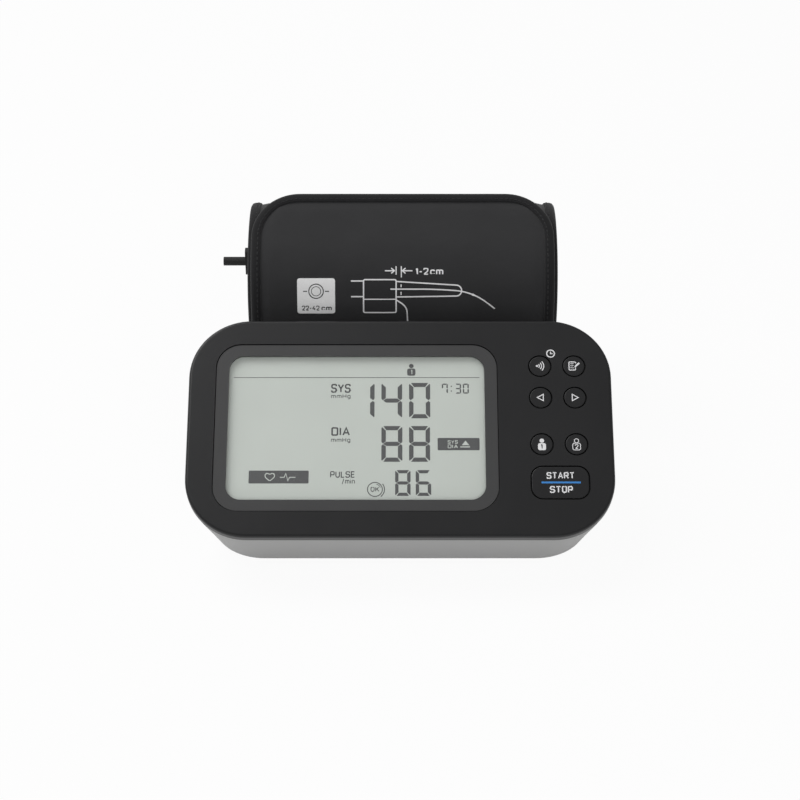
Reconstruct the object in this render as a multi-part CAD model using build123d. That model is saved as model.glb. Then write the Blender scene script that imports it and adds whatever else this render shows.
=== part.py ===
from build123d import *
from math import atan2, cos, degrees, radians, sin, tan
import os

# Upper arm blood pressure monitor: a wedge-shaped desk unit with a tilted face, and its arm cuff
# rolled up and standing behind it. Millimetres, +Z up, the face looks towards -Y.
# The origin is on the table, under the middle of the box round both.
#
# Face pieces are drawn flat, in the frame of the face: X to the right, Y up the slope, and
# depth counted downwards from the face's outer surface. They are then tilted into place.

# Desk unit as a whole
face_width = 191.0
face_length = 104.4
face_tilt = 32.6
face_corner = 27.8
unit_height = 85.0
unit_depth = 116.0

# Top cover
cover_thickness = 2.2
rim_depth = 4.4
rim_wall = 2.4
rim_round = 1.4
tongue_wall = 1.4
tongue_reach = 2.8
part_line = 0.3
hook_width = 10.0
hook_drop = 2.8
hook_catch = 0.9
hook_from_side = 35.5

# Lower housing
housing_inset = 1.0
housing_wall = 2.2
housing_floor = 2.4
band_height = 6.2
band_edge = 0.5
underside_inset = 10.3
underside_front = 19.0
underside_corner = 24.2
underside_round = 1.6
fit_gap = 0.25

# Feet
foot_rise = 1.0
foot_radius = 6.0
foot_seat = 0.8
foot_side_inset = 12.7
foot_inset = 17.0

# Display
window_side_margin = 12.15
window_end_margin = 11.95
window_corner = 11.5
key_panel_width = 51.45
bezel_recess = 0.4
bezel_gap = 0.35
bezel_thickness = 1.7
bezel_flange = 1.5
bezel_seat_gap = 0.1
bezel_side = 5.95
bezel_end = 5.55
view_corner = 6.8
lens_margin = 2.4
lens_thickness = 0.8
panel_margin = 3.2
panel_thickness = 2.2
panel_gap = 0.1
frame_wall = 1.6
frame_ledge = 1.6
connector_width = 2.4
connector_end_gap = 12.9

# Keys
key_radius = 4.8
key_gap = 0.55
key_pitch = 15.45
key_column_from_side = 24.5
key_rows = (29.35, 13.9, -8.6)
wide_key_width = 25.4
wide_key_length = 14.9
wide_key_corner = 5.0
wide_key_w = -26.75
key_proud = 0.15
key_round = 0.35
key_flange = 1.1
key_flange_thickness = 0.9
key_seat_gap = 0.25
key_travel = 0.6
stem_radius = 1.6
stem_gap = 0.65
switch_size = 6.0
switch_height = 2.6
plunger_radius = 1.7
plunger_height = 0.9
wide_key_switch_offset = 7.5

# Main board
board_depth = 9.0
board_thickness = 1.6
board_side_inset = 9.5
board_end_inset = 5.7
board_corner = 14.0
board_notch_gap = 1.0
post_radius = 2.5
post_from_left = 25.5
post_from_right = 43.5
post_pilot = 0.95
board_screw_head = 2.0
board_screw_head_height = 1.4
board_screw_length = 5.0
screw_play = 0.05
# What stands under the board: x, w, width, length and height of each block
board_blocks = ((0.0, 8.0, 14.0, 14.0, 1.6), (24.0, 12.0, 8.0, 6.0, 1.5), (-20.0, -14.0, 10.0, 4.0, 3.0),
                (30.0, -16.0, 12.0, 9.0, 2.2), (54.0, 10.0, 9.0, 5.0, 1.5))
capacitor_spots = ((10.0, -20.0), (44.0, 26.0), (-8.0, 28.0))
capacitor_radius = 3.2
capacitor_height = 6.5
buzzer_w = -12.0
buzzer_radius = 6.0
buzzer_height = 5.0
buzzer_hole = 0.8
buzzer_hole_depth = 2.0

# Case screws, square to the face, in wells under the front of the housing
case_boss_from_side = 57.5
case_boss_from_edge = 6.9
case_boss_radius = 3.4
case_boss_depth = 16.0
case_boss_gap = 0.2
case_screw_radius = 1.3
case_screw_head = 2.6
case_screw_head_height = 1.8
case_screw_length = 9.0
case_seat_depth = 21.0
case_well_wall = 1.5
well_play = 0.4

# Cells and their bay
cell_diameter = 14.5
cell_length = 50.5
cell_gap = 0.5
cell_count = 4
cell_cap_radius = 2.75
cell_cap_height = 1.2
bay_x = 28.0
bay_wall = 1.6
bay_side_room = 2.0
bay_from_rear = 10.5
spring_room = 5.0
plate_room = 1.0
roof_gap = 0.5
contact_width = 9.0
contact_thickness = 0.4

# Battery cover
hatch_thickness = 1.6
hatch_gap = 0.3
hatch_travel = 8.0
hatch_tab_length = 5.0
hatch_tab_reach = 1.5
hatch_tab_thickness = 1.0
hatch_tab_lift = 0.15
hatch_tab_first = 12.0
hatch_tab_room = 1.5
hatch_rib_wall = 1.1
grip_count = 4
grip_pitch = 3.0
grip_width = 26.0
grip_depth = 0.5
grip_groove = 1.2
grip_from_rear = 7.6

# Air system
pump_end = 43.0
pump_back = 34.0
motor_radius = 12.0
motor_length = 30.0
motor_flat = 20.6
motor_hub_radius = 3.5
motor_hub_length = 1.4
cushion_thickness = 2.0
cushion_length = 16.0
pump_head_radius = 13.5
pump_head_length = 22.0
pump_neck_length = 2.0
nozzle_radius = 1.3
nozzle_length = 5.0
hose_radius = 2.3
hose_play = 0.05
cradle_wall = 2.0
valve_length = 20.0
valve_side = 12.0
valve_run = 9.0
valve_forward = 12.0
valve_hose_bend = 5.0
manifold_from_side = 40.5
manifold_back = 4.0
manifold_side = 10.0
manifold_round = 1.0
sensor_w = -9.0
sensor_side = 9.0
sensor_height = 4.5
sensor_hose_bend = 9.0
support_wall = 2.0

# Air socket and power socket
air_socket_radius = 5.2
air_socket_length = 13.0
air_bore = 2.6
air_bore_length = 10.0
air_throat = 1.0
socket_proud = 0.4
power_socket_back = 10.0
power_socket_height = 19.0
power_socket_radius = 4.8
power_collar_length = 6.0
power_bore = 2.9
power_bore_length = 9.5
power_pin_radius = 0.85
power_pin_length = 8.0
power_body_length = 9.0
power_body_width = 9.6
power_body_height = 12.0
socket_hole_gap = 0.25

# Arm cuff, rolled twice into an upright loop
cuff_width = 146.2
cuff_x = 1.2
flap_width = 142.6
flap_corner = 22.8
flap_lean = 33.0
flap_length = 24.7
roll_radius = 39.3
roll_height = 105.5
roll_pitch = 5.6
roll_gap = 3.26
fabric = 1.2
padding = 1.6
core = 0.8
layer_gap = 0.1
binding_width = 4.8
binding_proud = 0.2
bladder_inset = 9.0
hook_tape_width = 96.0
hook_tape_length = 10.0
hook_tape_thickness = 0.8
hook_tape_from_end = 6.0
inner_end_turn = 20.0
port_height = 58.0
port_boot_length = 6.0
port_boot_width = 14.0
port_boot_round = 1.5
port_nozzle_radius = 2.2
port_nozzle_length = 11.0
port_bore = 1.2

# Worked out from the sizes above
slope_cos = cos(radians(face_tilt))
slope_sin = sin(radians(face_tilt))
rim_centre = face_length / 2 - rim_round
cover_top = rim_centre * slope_sin + rim_round * (1 - slope_cos)
cover_front = rim_centre * slope_cos + rim_round * (1 - slope_sin)
face_z = unit_height - cover_top
housing_top = rim_depth + part_line
band_bottom = housing_top + band_height

# The rear wall's slope, from the front edge of the unit, and where the roll stands clear of it
rear_w = face_length / 2 - housing_inset
wall_top_run = cover_front + rear_w * slope_cos + band_bottom * slope_sin
wall_top_height = face_z + rear_w * slope_sin - band_bottom * slope_cos
wall_lean = atan2(unit_depth - wall_top_run, wall_top_height - foot_rise)
roll_foot = roll_radius + binding_proud
wall_to_axis = (roll_radius + roll_gap) / cos(wall_lean) - (roll_foot - foot_rise) * tan(wall_lean)
roll_run = unit_depth + wall_to_axis - roll_radius
set_depth = roll_run + 2 * roll_radius
front_y = -set_depth / 2
rear_y = front_y + unit_depth
face_y = front_y + cover_front
face = Plane(origin=(0, face_y, face_z), x_dir=(1, 0, 0), z_dir=(0, -slope_sin, slope_cos))
face_axis = Axis((0, 0, 0), (0, -slope_sin, slope_cos))
on_floor = (Align.CENTER, Align.CENTER, Align.MIN)

tongue_inset = housing_inset + housing_wall + fit_gap
floor_top = foot_rise + housing_floor
hook_x = face_width / 2 - hook_from_side
underside_width = face_width - 2 * underside_inset
foot_side = underside_width / 2 - foot_side_inset
underside_y = (front_y + underside_front + rear_y) / 2
underside_length = unit_depth - underside_front

window_width = face_width - window_side_margin - key_panel_width
window_length = face_length - 2 * window_end_margin
window_x = window_side_margin + window_width / 2 - face_width / 2
view_width = window_width - 2 * bezel_side
view_length = window_length - 2 * bezel_end
bezel_front = bezel_recess
bezel_back = bezel_recess + bezel_thickness
lens_top = bezel_back + panel_gap
lens_bottom = lens_top + lens_thickness
panel_top = lens_bottom + panel_gap
panel_bottom = panel_top + panel_thickness
flange_top = cover_thickness + bezel_seat_gap
flange_bottom = lens_bottom
panel_width = view_width + 2 * panel_margin
panel_length = view_length + 2 * panel_margin
post_w = window_length / 2 + bezel_flange + post_radius + fit_gap
post_columns = (post_from_left - face_width / 2, face_width / 2 - post_from_right)
post_spots = [(x, side * post_w) for x in post_columns for side in (1, -1)]
connector_length = panel_width - 2 * connector_end_gap
frame_width = panel_width + 2 * fit_gap + 2 * frame_wall
frame_length = panel_length + 2 * fit_gap + 2 * frame_wall

board_under = board_depth + board_thickness
board_width = face_width - 2 * board_side_inset
board_length = face_length - 2 * board_end_inset

key_column_x = face_width / 2 - key_column_from_side
buzzer_spot = (key_column_x, buzzer_w)
key_flange_top = cover_thickness + key_seat_gap
switch_top = board_depth - switch_height
plunger_top = switch_top - plunger_height
stem_bottom = plunger_top - stem_gap

case_boss_x = face_width / 2 - case_boss_from_side
case_boss_w = -(face_length / 2 - case_boss_from_edge)
case_well_radius = case_screw_head + well_play

bay_width = cell_count * cell_diameter + (cell_count - 1) * cell_gap + 2 * bay_side_room
bay_length = cell_length + spring_room + plate_room
bay_rear = rear_y - bay_from_rear
bay_front = bay_rear - bay_length
hatch_top = foot_rise + hatch_thickness
cell_z = hatch_top + hatch_gap + cell_diameter / 2
bay_top = cell_z + cell_diameter / 2 + roof_gap
cell_front = bay_front + spring_room
hatch_tab_last = bay_length - hatch_travel - hatch_tab_length - hatch_tab_room
hatch_tab_rows = (hatch_tab_first, hatch_tab_last)

manifold_x = manifold_from_side - face_width / 2
pump_x = manifold_x + pump_end
pump_y = face_y + pump_back
cradle_radius = motor_radius + cushion_thickness
pump_z = floor_top + cradle_wall + max(cradle_radius, pump_head_radius)
pump_outlet_y = pump_y - pump_head_radius
power_y = face_y + power_socket_back
manifold_y = face_y + manifold_back
valve_x = manifold_x + valve_run + valve_length / 2
valve_y = manifold_y - manifold_side / 2 - valve_forward
sensor_bottom = board_under + sensor_height

wrap_thickness = 2 * fabric + padding + core + 3 * layer_gap
roll_front = front_y + roll_run
loop_bottom_y = roll_front + roll_radius
loop_top_y = loop_bottom_y + roll_pitch / 2
loop_bottom_z = roll_foot
loop_top_z = roll_height - (roll_radius - roll_pitch / 2)
cuff_side = cuff_x - cuff_width / 2


def layer(outline, top, bottom):
    """A flat layer of the face stack, between two depths below the face."""
    return Pos(0, 0, -bottom) * extrude(outline, bottom - top)


def disc(x, w, radius, top, bottom):
    return layer(Pos(x, w) * Circle(radius), top, bottom)


def frame_outline(width, length, corner, grow=0.0):
    """A rounded rectangle round the middle of the display, grown on every side."""
    return Pos(window_x, 0) * RectangleRounded(width + 2 * grow, length + 2 * grow, corner + grow)


def cover_outline(inset):
    return RectangleRounded(face_width - 2 * inset, face_length - 2 * inset, face_corner - inset)


def key_spots():
    """The round keys' names and places on the face, row by row."""
    names = ("connect", "memory", "back", "forward", "user_1", "user_2")
    spots = [(key_column_x + side * key_pitch / 2, w) for w in key_rows for side in (-1, 1)]
    return dict(zip(names, spots))


def wide_key_outline(grow=0.0):
    corner = wide_key_corner + grow
    outline = RectangleRounded(wide_key_width + 2 * grow, wide_key_length + 2 * grow, corner)
    return Pos(key_column_x, wide_key_w) * outline


def switch_spots():
    spots = list(key_spots().values())
    for side in (-1, 1):
        spots.append((key_column_x + side * wide_key_switch_offset, wide_key_w))
    return spots


def housing_form(inset, top, bottom_z):
    """The lower housing's form: a band square to the face, then walls drawn in to the underside."""
    outline = cover_outline(housing_inset + inset)
    corner = underside_corner - inset
    base = RectangleRounded(underside_width - 2 * inset, underside_length - 2 * inset, corner)
    band = face * layer(outline, top, band_bottom)
    walls = loft([face * (Pos(0, 0, -band_bottom) * outline), Pos(0, underside_y, bottom_z) * base],
                 ruled=True)
    return band + walls


def make_top_cover():
    plate = layer(cover_outline(0), 0, rim_depth)
    plate = fillet(plate.faces().sort_by(Axis.Z)[-1].edges(), rim_round)
    plate -= layer(cover_outline(rim_wall), cover_thickness, rim_depth)
    tongue_end = housing_top + tongue_reach
    tongue = layer(cover_outline(tongue_inset), cover_thickness, tongue_end)
    tongue -= layer(cover_outline(tongue_inset + tongue_wall), cover_thickness, tongue_end)
    cover = plate + tongue
    hook_w = face_length / 2 - tongue_inset
    for x in (-hook_x, 0, hook_x):
        hook = Pos(x, hook_w - tongue_wall / 2) * Rectangle(hook_width, tongue_wall)
        barb = Pos(x, hook_w + hook_catch / 2) * Rectangle(hook_width, hook_catch)
        barb_top = tongue_end + hook_drop / 2
        cover += layer(hook, tongue_end, tongue_end + hook_drop)
        cover += layer(barb, barb_top, tongue_end + hook_drop)
    for side in (-1, 1):
        boss = disc(side * case_boss_x, case_boss_w, case_boss_radius, cover_thickness, case_boss_depth)
        pilot_top = case_boss_depth - case_screw_length
        pilot = disc(side * case_boss_x, case_boss_w, case_screw_radius + screw_play,
                     pilot_top, case_boss_depth)
        cover = cover + boss - pilot
    for x, w in post_spots:
        cover += disc(x, w, post_radius, cover_thickness, board_depth)
        pilot_top = board_depth - board_screw_length + board_thickness
        cover -= disc(x, w, post_pilot + screw_play, pilot_top, board_depth)
    cover -= layer(frame_outline(window_width, window_length, window_corner), 0, cover_thickness)
    for x, w in key_spots().values():
        cover -= disc(x, w, key_radius + key_gap, 0, cover_thickness)
    cover -= layer(wide_key_outline(key_gap), 0, cover_thickness)
    return face * cover


def make_lower_housing():
    shell = housing_form(0, housing_top, foot_rise)
    shell = fillet(shell.faces().sort_by(Axis.Z)[0].edges(), underside_round)
    shell = fillet(shell.faces().sort_by(face_axis)[-1].edges(), band_edge)
    hollow = housing_form(housing_wall, 0, floor_top)
    housing = shell - hollow
    inside = housing_form(housing_wall / 2, housing_top, foot_rise + housing_floor / 2)

    # Walls and roof of the cell bay, with the raised step that the battery cover's end runs under
    bay_middle = (bay_front + bay_rear) / 2
    outer_height = bay_top + bay_wall - floor_top
    box = Pos(bay_x, bay_middle, floor_top) * Box(
        bay_width + 2 * bay_wall, bay_length + 2 * bay_wall, outer_height, align=on_floor)
    step_front = bay_rear + bay_wall / 2
    step_length = rear_y - step_front
    step = Pos(bay_x, step_front + step_length / 2, floor_top) * Box(
        bay_width + 2 * bay_wall, step_length, hatch_thickness + hatch_gap, align=on_floor)
    housing += (box + step) & inside
    housing -= Pos(bay_x, bay_middle, 0) * Box(bay_width, bay_length, bay_top, align=on_floor)
    slot_length = rear_y - bay_rear + hatch_travel
    housing -= Pos(bay_x, bay_rear + slot_length / 2, 0) * Box(
        bay_width, slot_length, hatch_top + hatch_gap, align=on_floor)

    # Windows that the cover's tabs slide in, and the notches where they drop out
    for side in (-1, 1):
        edge = bay_x + side * bay_width / 2
        depth = hatch_tab_reach + 2 * fit_gap
        middle = edge + side * depth / 2
        for row in hatch_tab_rows:
            length = hatch_tab_length + hatch_travel + 4 * fit_gap
            start = bay_front + row - 2 * fit_gap
            rise = hatch_tab_lift + hatch_tab_thickness + fit_gap
            window = Pos(middle, start + length / 2, floor_top) * Box(depth, length, rise, align=on_floor)
            notch_length = hatch_tab_length + 2 * fit_gap
            notch = Pos(middle, start + length - notch_length / 2, 0) * Box(
                depth, notch_length, floor_top, align=on_floor)
            housing = housing - window - notch

    # Screw wells square to the face, open at the underside
    for side in (-1, 1):
        x = side * case_boss_x
        reach = (face_z + case_boss_w * slope_sin) / slope_cos
        post_top = case_boss_depth + case_boss_gap
        post_size = case_well_radius + case_well_wall
        post = face * disc(x, case_boss_w, post_size, post_top, reach)
        housing += post & housing_form(housing_wall / 2, 0, foot_rise + housing_floor / 2)
        housing -= face * disc(x, case_boss_w, case_screw_radius + screw_play, 0, case_seat_depth)
        housing -= face * disc(x, case_boss_w, case_well_radius, case_seat_depth, reach + unit_height)

    # Catches for the cover's hooks, in the inner side of the rear wall
    catch_w = face_length / 2 - tongue_inset
    barb_top = housing_top + tongue_reach + hook_drop / 2
    for x in (-hook_x, 0, hook_x):
        catch_depth = hook_catch + 2 * fit_gap
        catch = Pos(x, catch_w + catch_depth / 2) * Rectangle(hook_width + 4 * fit_gap, catch_depth)
        housing -= face * layer(catch, barb_top - fit_gap, barb_top + hook_drop / 2 + 2 * fit_gap)

    # Cradle for the pump, and a cross rib on each side of its rubber cushion
    cradle_x = pump_x - motor_length / 2
    for side in (-1, 1):
        rib = Pos(cradle_x + side * cushion_length / 4, pump_y, floor_top) * Box(
            cradle_wall, 2 * cradle_radius, cradle_radius, align=on_floor)
        saddle = Pos(cradle_x + side * cushion_length / 4, pump_y, pump_z) * Rot(0, 90, 0) * Cylinder(
            cradle_radius + fit_gap / 2, 2 * cradle_wall)
        housing += rib - saddle

    for x, y in foot_spots():
        housing -= Pos(x, y, 0) * Cylinder(foot_radius + fit_gap / 2, foot_rise + foot_seat, align=on_floor)
    for side, y, z, radius in ((-1, manifold_y, pump_z, air_socket_radius),
                               (1, power_y, power_socket_height, power_socket_radius)):
        hole = Rot(0, 90, 0) * Cylinder(radius + socket_hole_gap, underside_width / 4)
        housing -= Pos(side * underside_width / 2, y, z) * hole

    # Ledges that carry the air manifold, the valve and the power socket
    ledge_height = pump_z - manifold_side / 2 - floor_top
    housing += Pos(manifold_x, manifold_y, floor_top) * Box(
        support_wall, manifold_side - 2 * manifold_round, ledge_height, align=on_floor)
    ledge_height = pump_z - valve_side / 2 - floor_top
    for end in (-1, 1):
        housing += Pos(valve_x + end * valve_length / 4, valve_y, floor_top) * Box(
            support_wall, valve_side, ledge_height, align=on_floor)
    ledge_height = power_socket_height - power_body_height / 2 - floor_top
    housing += Pos(power_body_x, power_y, floor_top) * Box(
        support_wall, power_body_width, ledge_height, align=on_floor)
    return housing


def foot_spots():
    near, far = front_y + underside_front + foot_inset, rear_y - foot_inset
    return [(x, y) for y in (near, far) for x in (-foot_side, foot_side)]


def make_foot(x, y):
    foot = Cylinder(foot_radius, foot_rise + foot_seat, align=on_floor)
    foot = fillet(foot.edges().sort_by(Axis.Z)[0], foot_rise / 2)
    return Pos(x, y, 0) * foot


def make_display_bezel():
    outer = frame_outline(window_width, window_length, window_corner, -bezel_gap)
    bezel = layer(outer, bezel_front, flange_bottom)
    bezel += layer(frame_outline(window_width, window_length, window_corner, bezel_flange),
                   flange_top, flange_bottom)
    bezel -= layer(frame_outline(view_width, view_length, view_corner), bezel_front, flange_bottom)
    bezel -= layer(frame_outline(view_width, view_length, view_corner, lens_margin + fit_gap),
                   bezel_back, flange_bottom)
    return face * bezel


def make_display_lens():
    return face * layer(frame_outline(view_width, view_length, view_corner, lens_margin),
                        lens_top, lens_bottom)


def make_lcd_panel():
    """Two glass plates; the lower one stands out along one edge for its connector."""
    upper_length = panel_length - panel_margin
    upper = Pos(window_x, panel_margin / 2) * Rectangle(panel_width, upper_length)
    lower = Pos(window_x, 0) * Rectangle(panel_width, panel_length)
    middle = (panel_top + panel_bottom) / 2
    return face * (layer(upper, panel_top, middle) + layer(lower, middle, panel_bottom))


def make_lcd_frame():
    top = flange_bottom + panel_gap
    outer = Pos(window_x, 0) * RectangleRounded(frame_width, frame_length, frame_wall)
    pocket = Pos(window_x, 0) * Rectangle(panel_width + 2 * fit_gap, panel_length + 2 * fit_gap)
    opening = Pos(window_x, 0) * Rectangle(panel_width - 2 * frame_ledge, panel_length - 2 * frame_ledge)
    ring = layer(outer, top, board_depth)
    ring -= layer(pocket, top, panel_bottom)
    ring -= layer(opening, panel_bottom, board_depth)
    for strip in connector_outlines(fit_gap):
        ring -= layer(strip, panel_bottom, board_depth)
    return face * ring


def connector_outlines(grow=0.0):
    """Where the two elastic strips stand that join the panel to the board."""
    w = panel_length / 2 - frame_ledge - connector_width
    outline = Rectangle(connector_length + 2 * grow, connector_width + 2 * grow)
    return [Pos(window_x, side * w) * outline for side in (-1, 1)]


def make_lcd_connectors():
    strips = [layer(strip, panel_bottom, board_depth) for strip in connector_outlines()]
    return face * Compound(children=strips)


def make_main_board():
    board = layer(RectangleRounded(board_width, board_length, board_corner),
                  board_depth, board_depth + board_thickness)
    for side in (-1, 1):
        board -= disc(side * case_boss_x, case_boss_w, case_boss_radius + board_notch_gap,
                      0, case_seat_depth)
    for x, w in post_spots:
        board -= disc(x, w, post_pilot + 2 * screw_play, 0, case_seat_depth)
    return face * board


def make_board_screws():
    screws = []
    for x, w in post_spots:
        head = disc(x, w, board_screw_head, board_under, board_under + board_screw_head_height)
        tip = board_under - board_screw_length + 2 * fit_gap
        screws.append(head + disc(x, w, post_pilot, tip, board_under))
    return face * Compound(children=screws)


def make_board_components():
    """Controller, memory, radio, crystal and capacitors, on the board's lower side."""
    parts = []
    for x, w, width, length, height in board_blocks:
        parts.append(layer(Pos(x, w) * Rectangle(width, length), board_under, board_under + height))
    for x, w in capacitor_spots:
        parts.append(disc(x, w, capacitor_radius, board_under, board_under + capacitor_height))
    return face * Compound(children=parts)


def make_buzzer():
    end = board_under + buzzer_height
    buzzer = disc(*buzzer_spot, buzzer_radius, board_under, end)
    return face * (buzzer - disc(*buzzer_spot, buzzer_hole, end - buzzer_hole_depth, end))


def make_tact_switches():
    switches = []
    for x, w in switch_spots():
        body = layer(Pos(x, w) * Rectangle(switch_size, switch_size), switch_top, board_depth)
        switches.append(body + disc(x, w, plunger_radius, plunger_top, switch_top))
    return face * Compound(children=switches)


def make_key(outline, flange, stems):
    """A key cap in its hole, held by a flange under the cover, with a stem over each switch."""
    cap = layer(outline, -key_proud, key_flange_top)
    cap = fillet(cap.faces().sort_by(Axis.Z)[-1].edges(), key_round)
    key = cap + layer(flange, key_flange_top, key_flange_top + key_flange_thickness)
    for x, w in stems:
        key += disc(x, w, stem_radius, key_flange_top, stem_bottom)
    return face * key


def make_round_key(x, w):
    spot = Pos(x, w)
    return make_key(spot * Circle(key_radius), spot * Circle(key_radius + key_gap + key_flange), [(x, w)])


def make_wide_key():
    return make_key(wide_key_outline(), wide_key_outline(key_gap + key_flange), switch_spots()[-2:])


def make_case_screw(x):
    seat = case_seat_depth
    head = disc(x, case_boss_w, case_screw_head, seat, seat + case_screw_head_height)
    tip = case_boss_depth - case_screw_length + 2 * fit_gap
    return face * (head + disc(x, case_boss_w, case_screw_radius, tip, seat))


def make_case_screws():
    return Compound(children=[make_case_screw(side * case_boss_x) for side in (-1, 1)])


def cell_x(index):
    return bay_x + (index - (cell_count - 1) / 2) * (cell_diameter + cell_gap)


def cell_flip(index):
    """Each cell lies the other way round from its neighbour."""
    return 1 if index % 2 == 0 else -1


def make_cell(index):
    can = Cylinder(cell_diameter / 2, cell_length - cell_cap_height, align=on_floor)
    can = fillet(can.edges(), cell_cap_height / 2)
    cap = Pos(0, 0, cell_length - cell_cap_height) * Cylinder(cell_cap_radius, cell_cap_height, align=on_floor)
    flip = cell_flip(index)
    start = cell_front if flip > 0 else cell_front + cell_length
    return Pos(cell_x(index), start, cell_z) * Rot(-90 * flip, 0, 0) * (can + cap)


def make_spring_contacts():
    """Bowed strips that press the cells back against the plates."""
    strips = []
    for index in range(cell_count):
        bow = spring_room - contact_thickness
        low, high = cell_z - contact_width / 2, cell_z + contact_width / 2
        outer = ThreePointArc((bay_front, low), (bay_front + bow, cell_z), (bay_front, high))
        inner_bow = bow - contact_thickness
        inner = ThreePointArc((bay_front, high - contact_thickness), (bay_front + inner_bow, cell_z),
                              (bay_front, low + contact_thickness))
        ends = [Line(outer @ 1, inner @ 0), Line(inner @ 1, outer @ 0)]
        profile = make_face([outer, ends[0], inner, ends[1]])
        strip = extrude(Plane.YZ * profile, contact_width / 2, both=True)
        strips.append(Pos(cell_x(index), 0, 0) * strip)
    return Compound(children=strips)


def make_plate_contacts():
    """Flat plates at the bay's rear, each joining two cells."""
    plates = []
    for pair in range(cell_count // 2):
        x = (cell_x(2 * pair) + cell_x(2 * pair + 1)) / 2
        width = cell_diameter + cell_gap + contact_width
        plates.append(Pos(x, bay_rear - contact_thickness / 2, cell_z) * Box(
            width, contact_thickness, contact_width))
    return Compound(children=plates)


def make_battery_cover():
    """A plate cut from the housing's own form, with tabs that ride above the housing's floor."""
    form = housing_form(0, housing_top, foot_rise)
    form = fillet(form.faces().sort_by(Axis.Z)[0].edges(), underside_round)
    start = bay_front + hatch_gap
    length = rear_y - start
    width = bay_width - 2 * hatch_gap
    blank = Pos(bay_x, start + length / 2, 0) * Box(width, length, hatch_top, align=on_floor)
    hatch = form & blank
    tab_bottom = floor_top + hatch_tab_lift
    tab_top = tab_bottom + hatch_tab_thickness
    for side in (-1, 1):
        edge = bay_x + side * width / 2
        for row in hatch_tab_rows:
            middle = bay_front + row + hatch_tab_length / 2
            rib = Pos(edge - side * hatch_rib_wall / 2, middle, hatch_top) * Box(
                hatch_rib_wall, hatch_tab_length, tab_top - hatch_top, align=on_floor)
            reach = hatch_tab_reach + hatch_gap
            tab = Pos(edge + side * reach / 2, middle, tab_bottom) * Box(
                reach, hatch_tab_length, hatch_tab_thickness, align=on_floor)
            hatch += rib + tab
    for step in range(grip_count):
        y = rear_y - grip_from_rear - step * grip_pitch
        hatch -= Pos(bay_x, y, foot_rise) * Box(grip_width, grip_groove, 2 * grip_depth)
    return hatch


def make_pump_motor():
    """A round can with two flats, lying along X, and the hub at its end."""
    can = Cylinder(motor_radius, motor_length) & Box(2 * motor_radius, motor_flat, motor_length)
    hub = Pos(0, 0, (motor_length + motor_hub_length) / 2) * Cylinder(motor_hub_radius, motor_hub_length)
    return Pos(pump_x - motor_length / 2, pump_y, pump_z) * Rot(0, 90, 0) * (can + hub)


def make_pump_cushion():
    sleeve = Cylinder(cradle_radius, cushion_length) - Cylinder(motor_radius + fit_gap / 4, cushion_length)
    return Pos(pump_x - motor_length / 2, pump_y, pump_z) * Rot(0, 90, 0) * sleeve


def make_pump_head():
    """Drum of the diaphragm pump, with its cap and outlet nozzle, on the end of the motor."""
    drum = Cylinder(pump_head_radius, pump_head_length)
    drum = chamfer(drum.edges(), pump_neck_length)
    groove = Cylinder(pump_head_radius, pump_neck_length / 2) - Cylinder(
        pump_head_radius - pump_neck_length / 2, pump_neck_length / 2)
    drum -= groove
    middle = pump_x - motor_length - pump_head_length / 2
    placed = Pos(middle, pump_y, pump_z) * Rot(0, 90, 0) * drum
    return placed + nozzle((manifold_x, pump_outlet_y, pump_z), (0, -1, 0))


def nozzle(start, direction):
    """A plain hose nozzle standing out of a wall, with a root sunk into it."""
    root = 2 * nozzle_radius
    end = Plane(origin=start, z_dir=direction)
    return end * Pos(0, 0, -root) * Cylinder(nozzle_radius, nozzle_length + root, align=on_floor)


def hose(*points, bend=0.0):
    """A hose from wall to wall along a flat route, over the nozzle at each end."""
    path = FilletPolyline(*points, radius=bend) if bend else Line(*points)
    section = Circle(hose_radius) - Circle(nozzle_radius + hose_play)
    return sweep(Plane(origin=path @ 0, z_dir=path % 0) * section, path=path)


def make_air_manifold():
    block = Box(manifold_side, manifold_side, manifold_side)
    block = Pos(manifold_x, manifold_y, pump_z) * fillet(block.edges(), manifold_round)
    half = manifold_side / 2
    for direction in ((-1, 0, 0), (0, 1, 0), (0, -1, 0), (0, 0, 1)):
        block += nozzle(Vector(manifold_x, manifold_y, pump_z) + Vector(direction) * half, direction)
    return block


def make_release_valve():
    """A small solenoid in its yoke, with a vent nub at the far end."""
    coil = Rot(0, 90, 0) * Cylinder(valve_side / 2 - 2 * fit_gap, valve_length)
    cheek = Box(support_wall, valve_side, valve_side)
    valve = coil + Pos((support_wall - valve_length) / 2, 0, 0) * cheek
    valve += Pos((valve_length - support_wall) / 2, 0, 0) * cheek
    valve += Pos(0, 0, support_wall / 2 - valve_side / 2) * Box(valve_length, valve_side, support_wall)
    return Pos(valve_x, valve_y, pump_z) * valve + nozzle(
        (valve_x - valve_length / 2, valve_y, pump_z), (-1, 0, 0))


def sensor_mouth():
    """Where the pressure sensor's nozzle starts, under the board."""
    return face.from_local_coords((manifold_x, sensor_w, -sensor_bottom))


def make_pressure_sensor():
    body = layer(Pos(manifold_x, sensor_w) * Rectangle(sensor_side, sensor_side),
                 board_under, sensor_bottom)
    return face * body + nozzle(sensor_mouth(), (0, slope_sin, -slope_cos))


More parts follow.
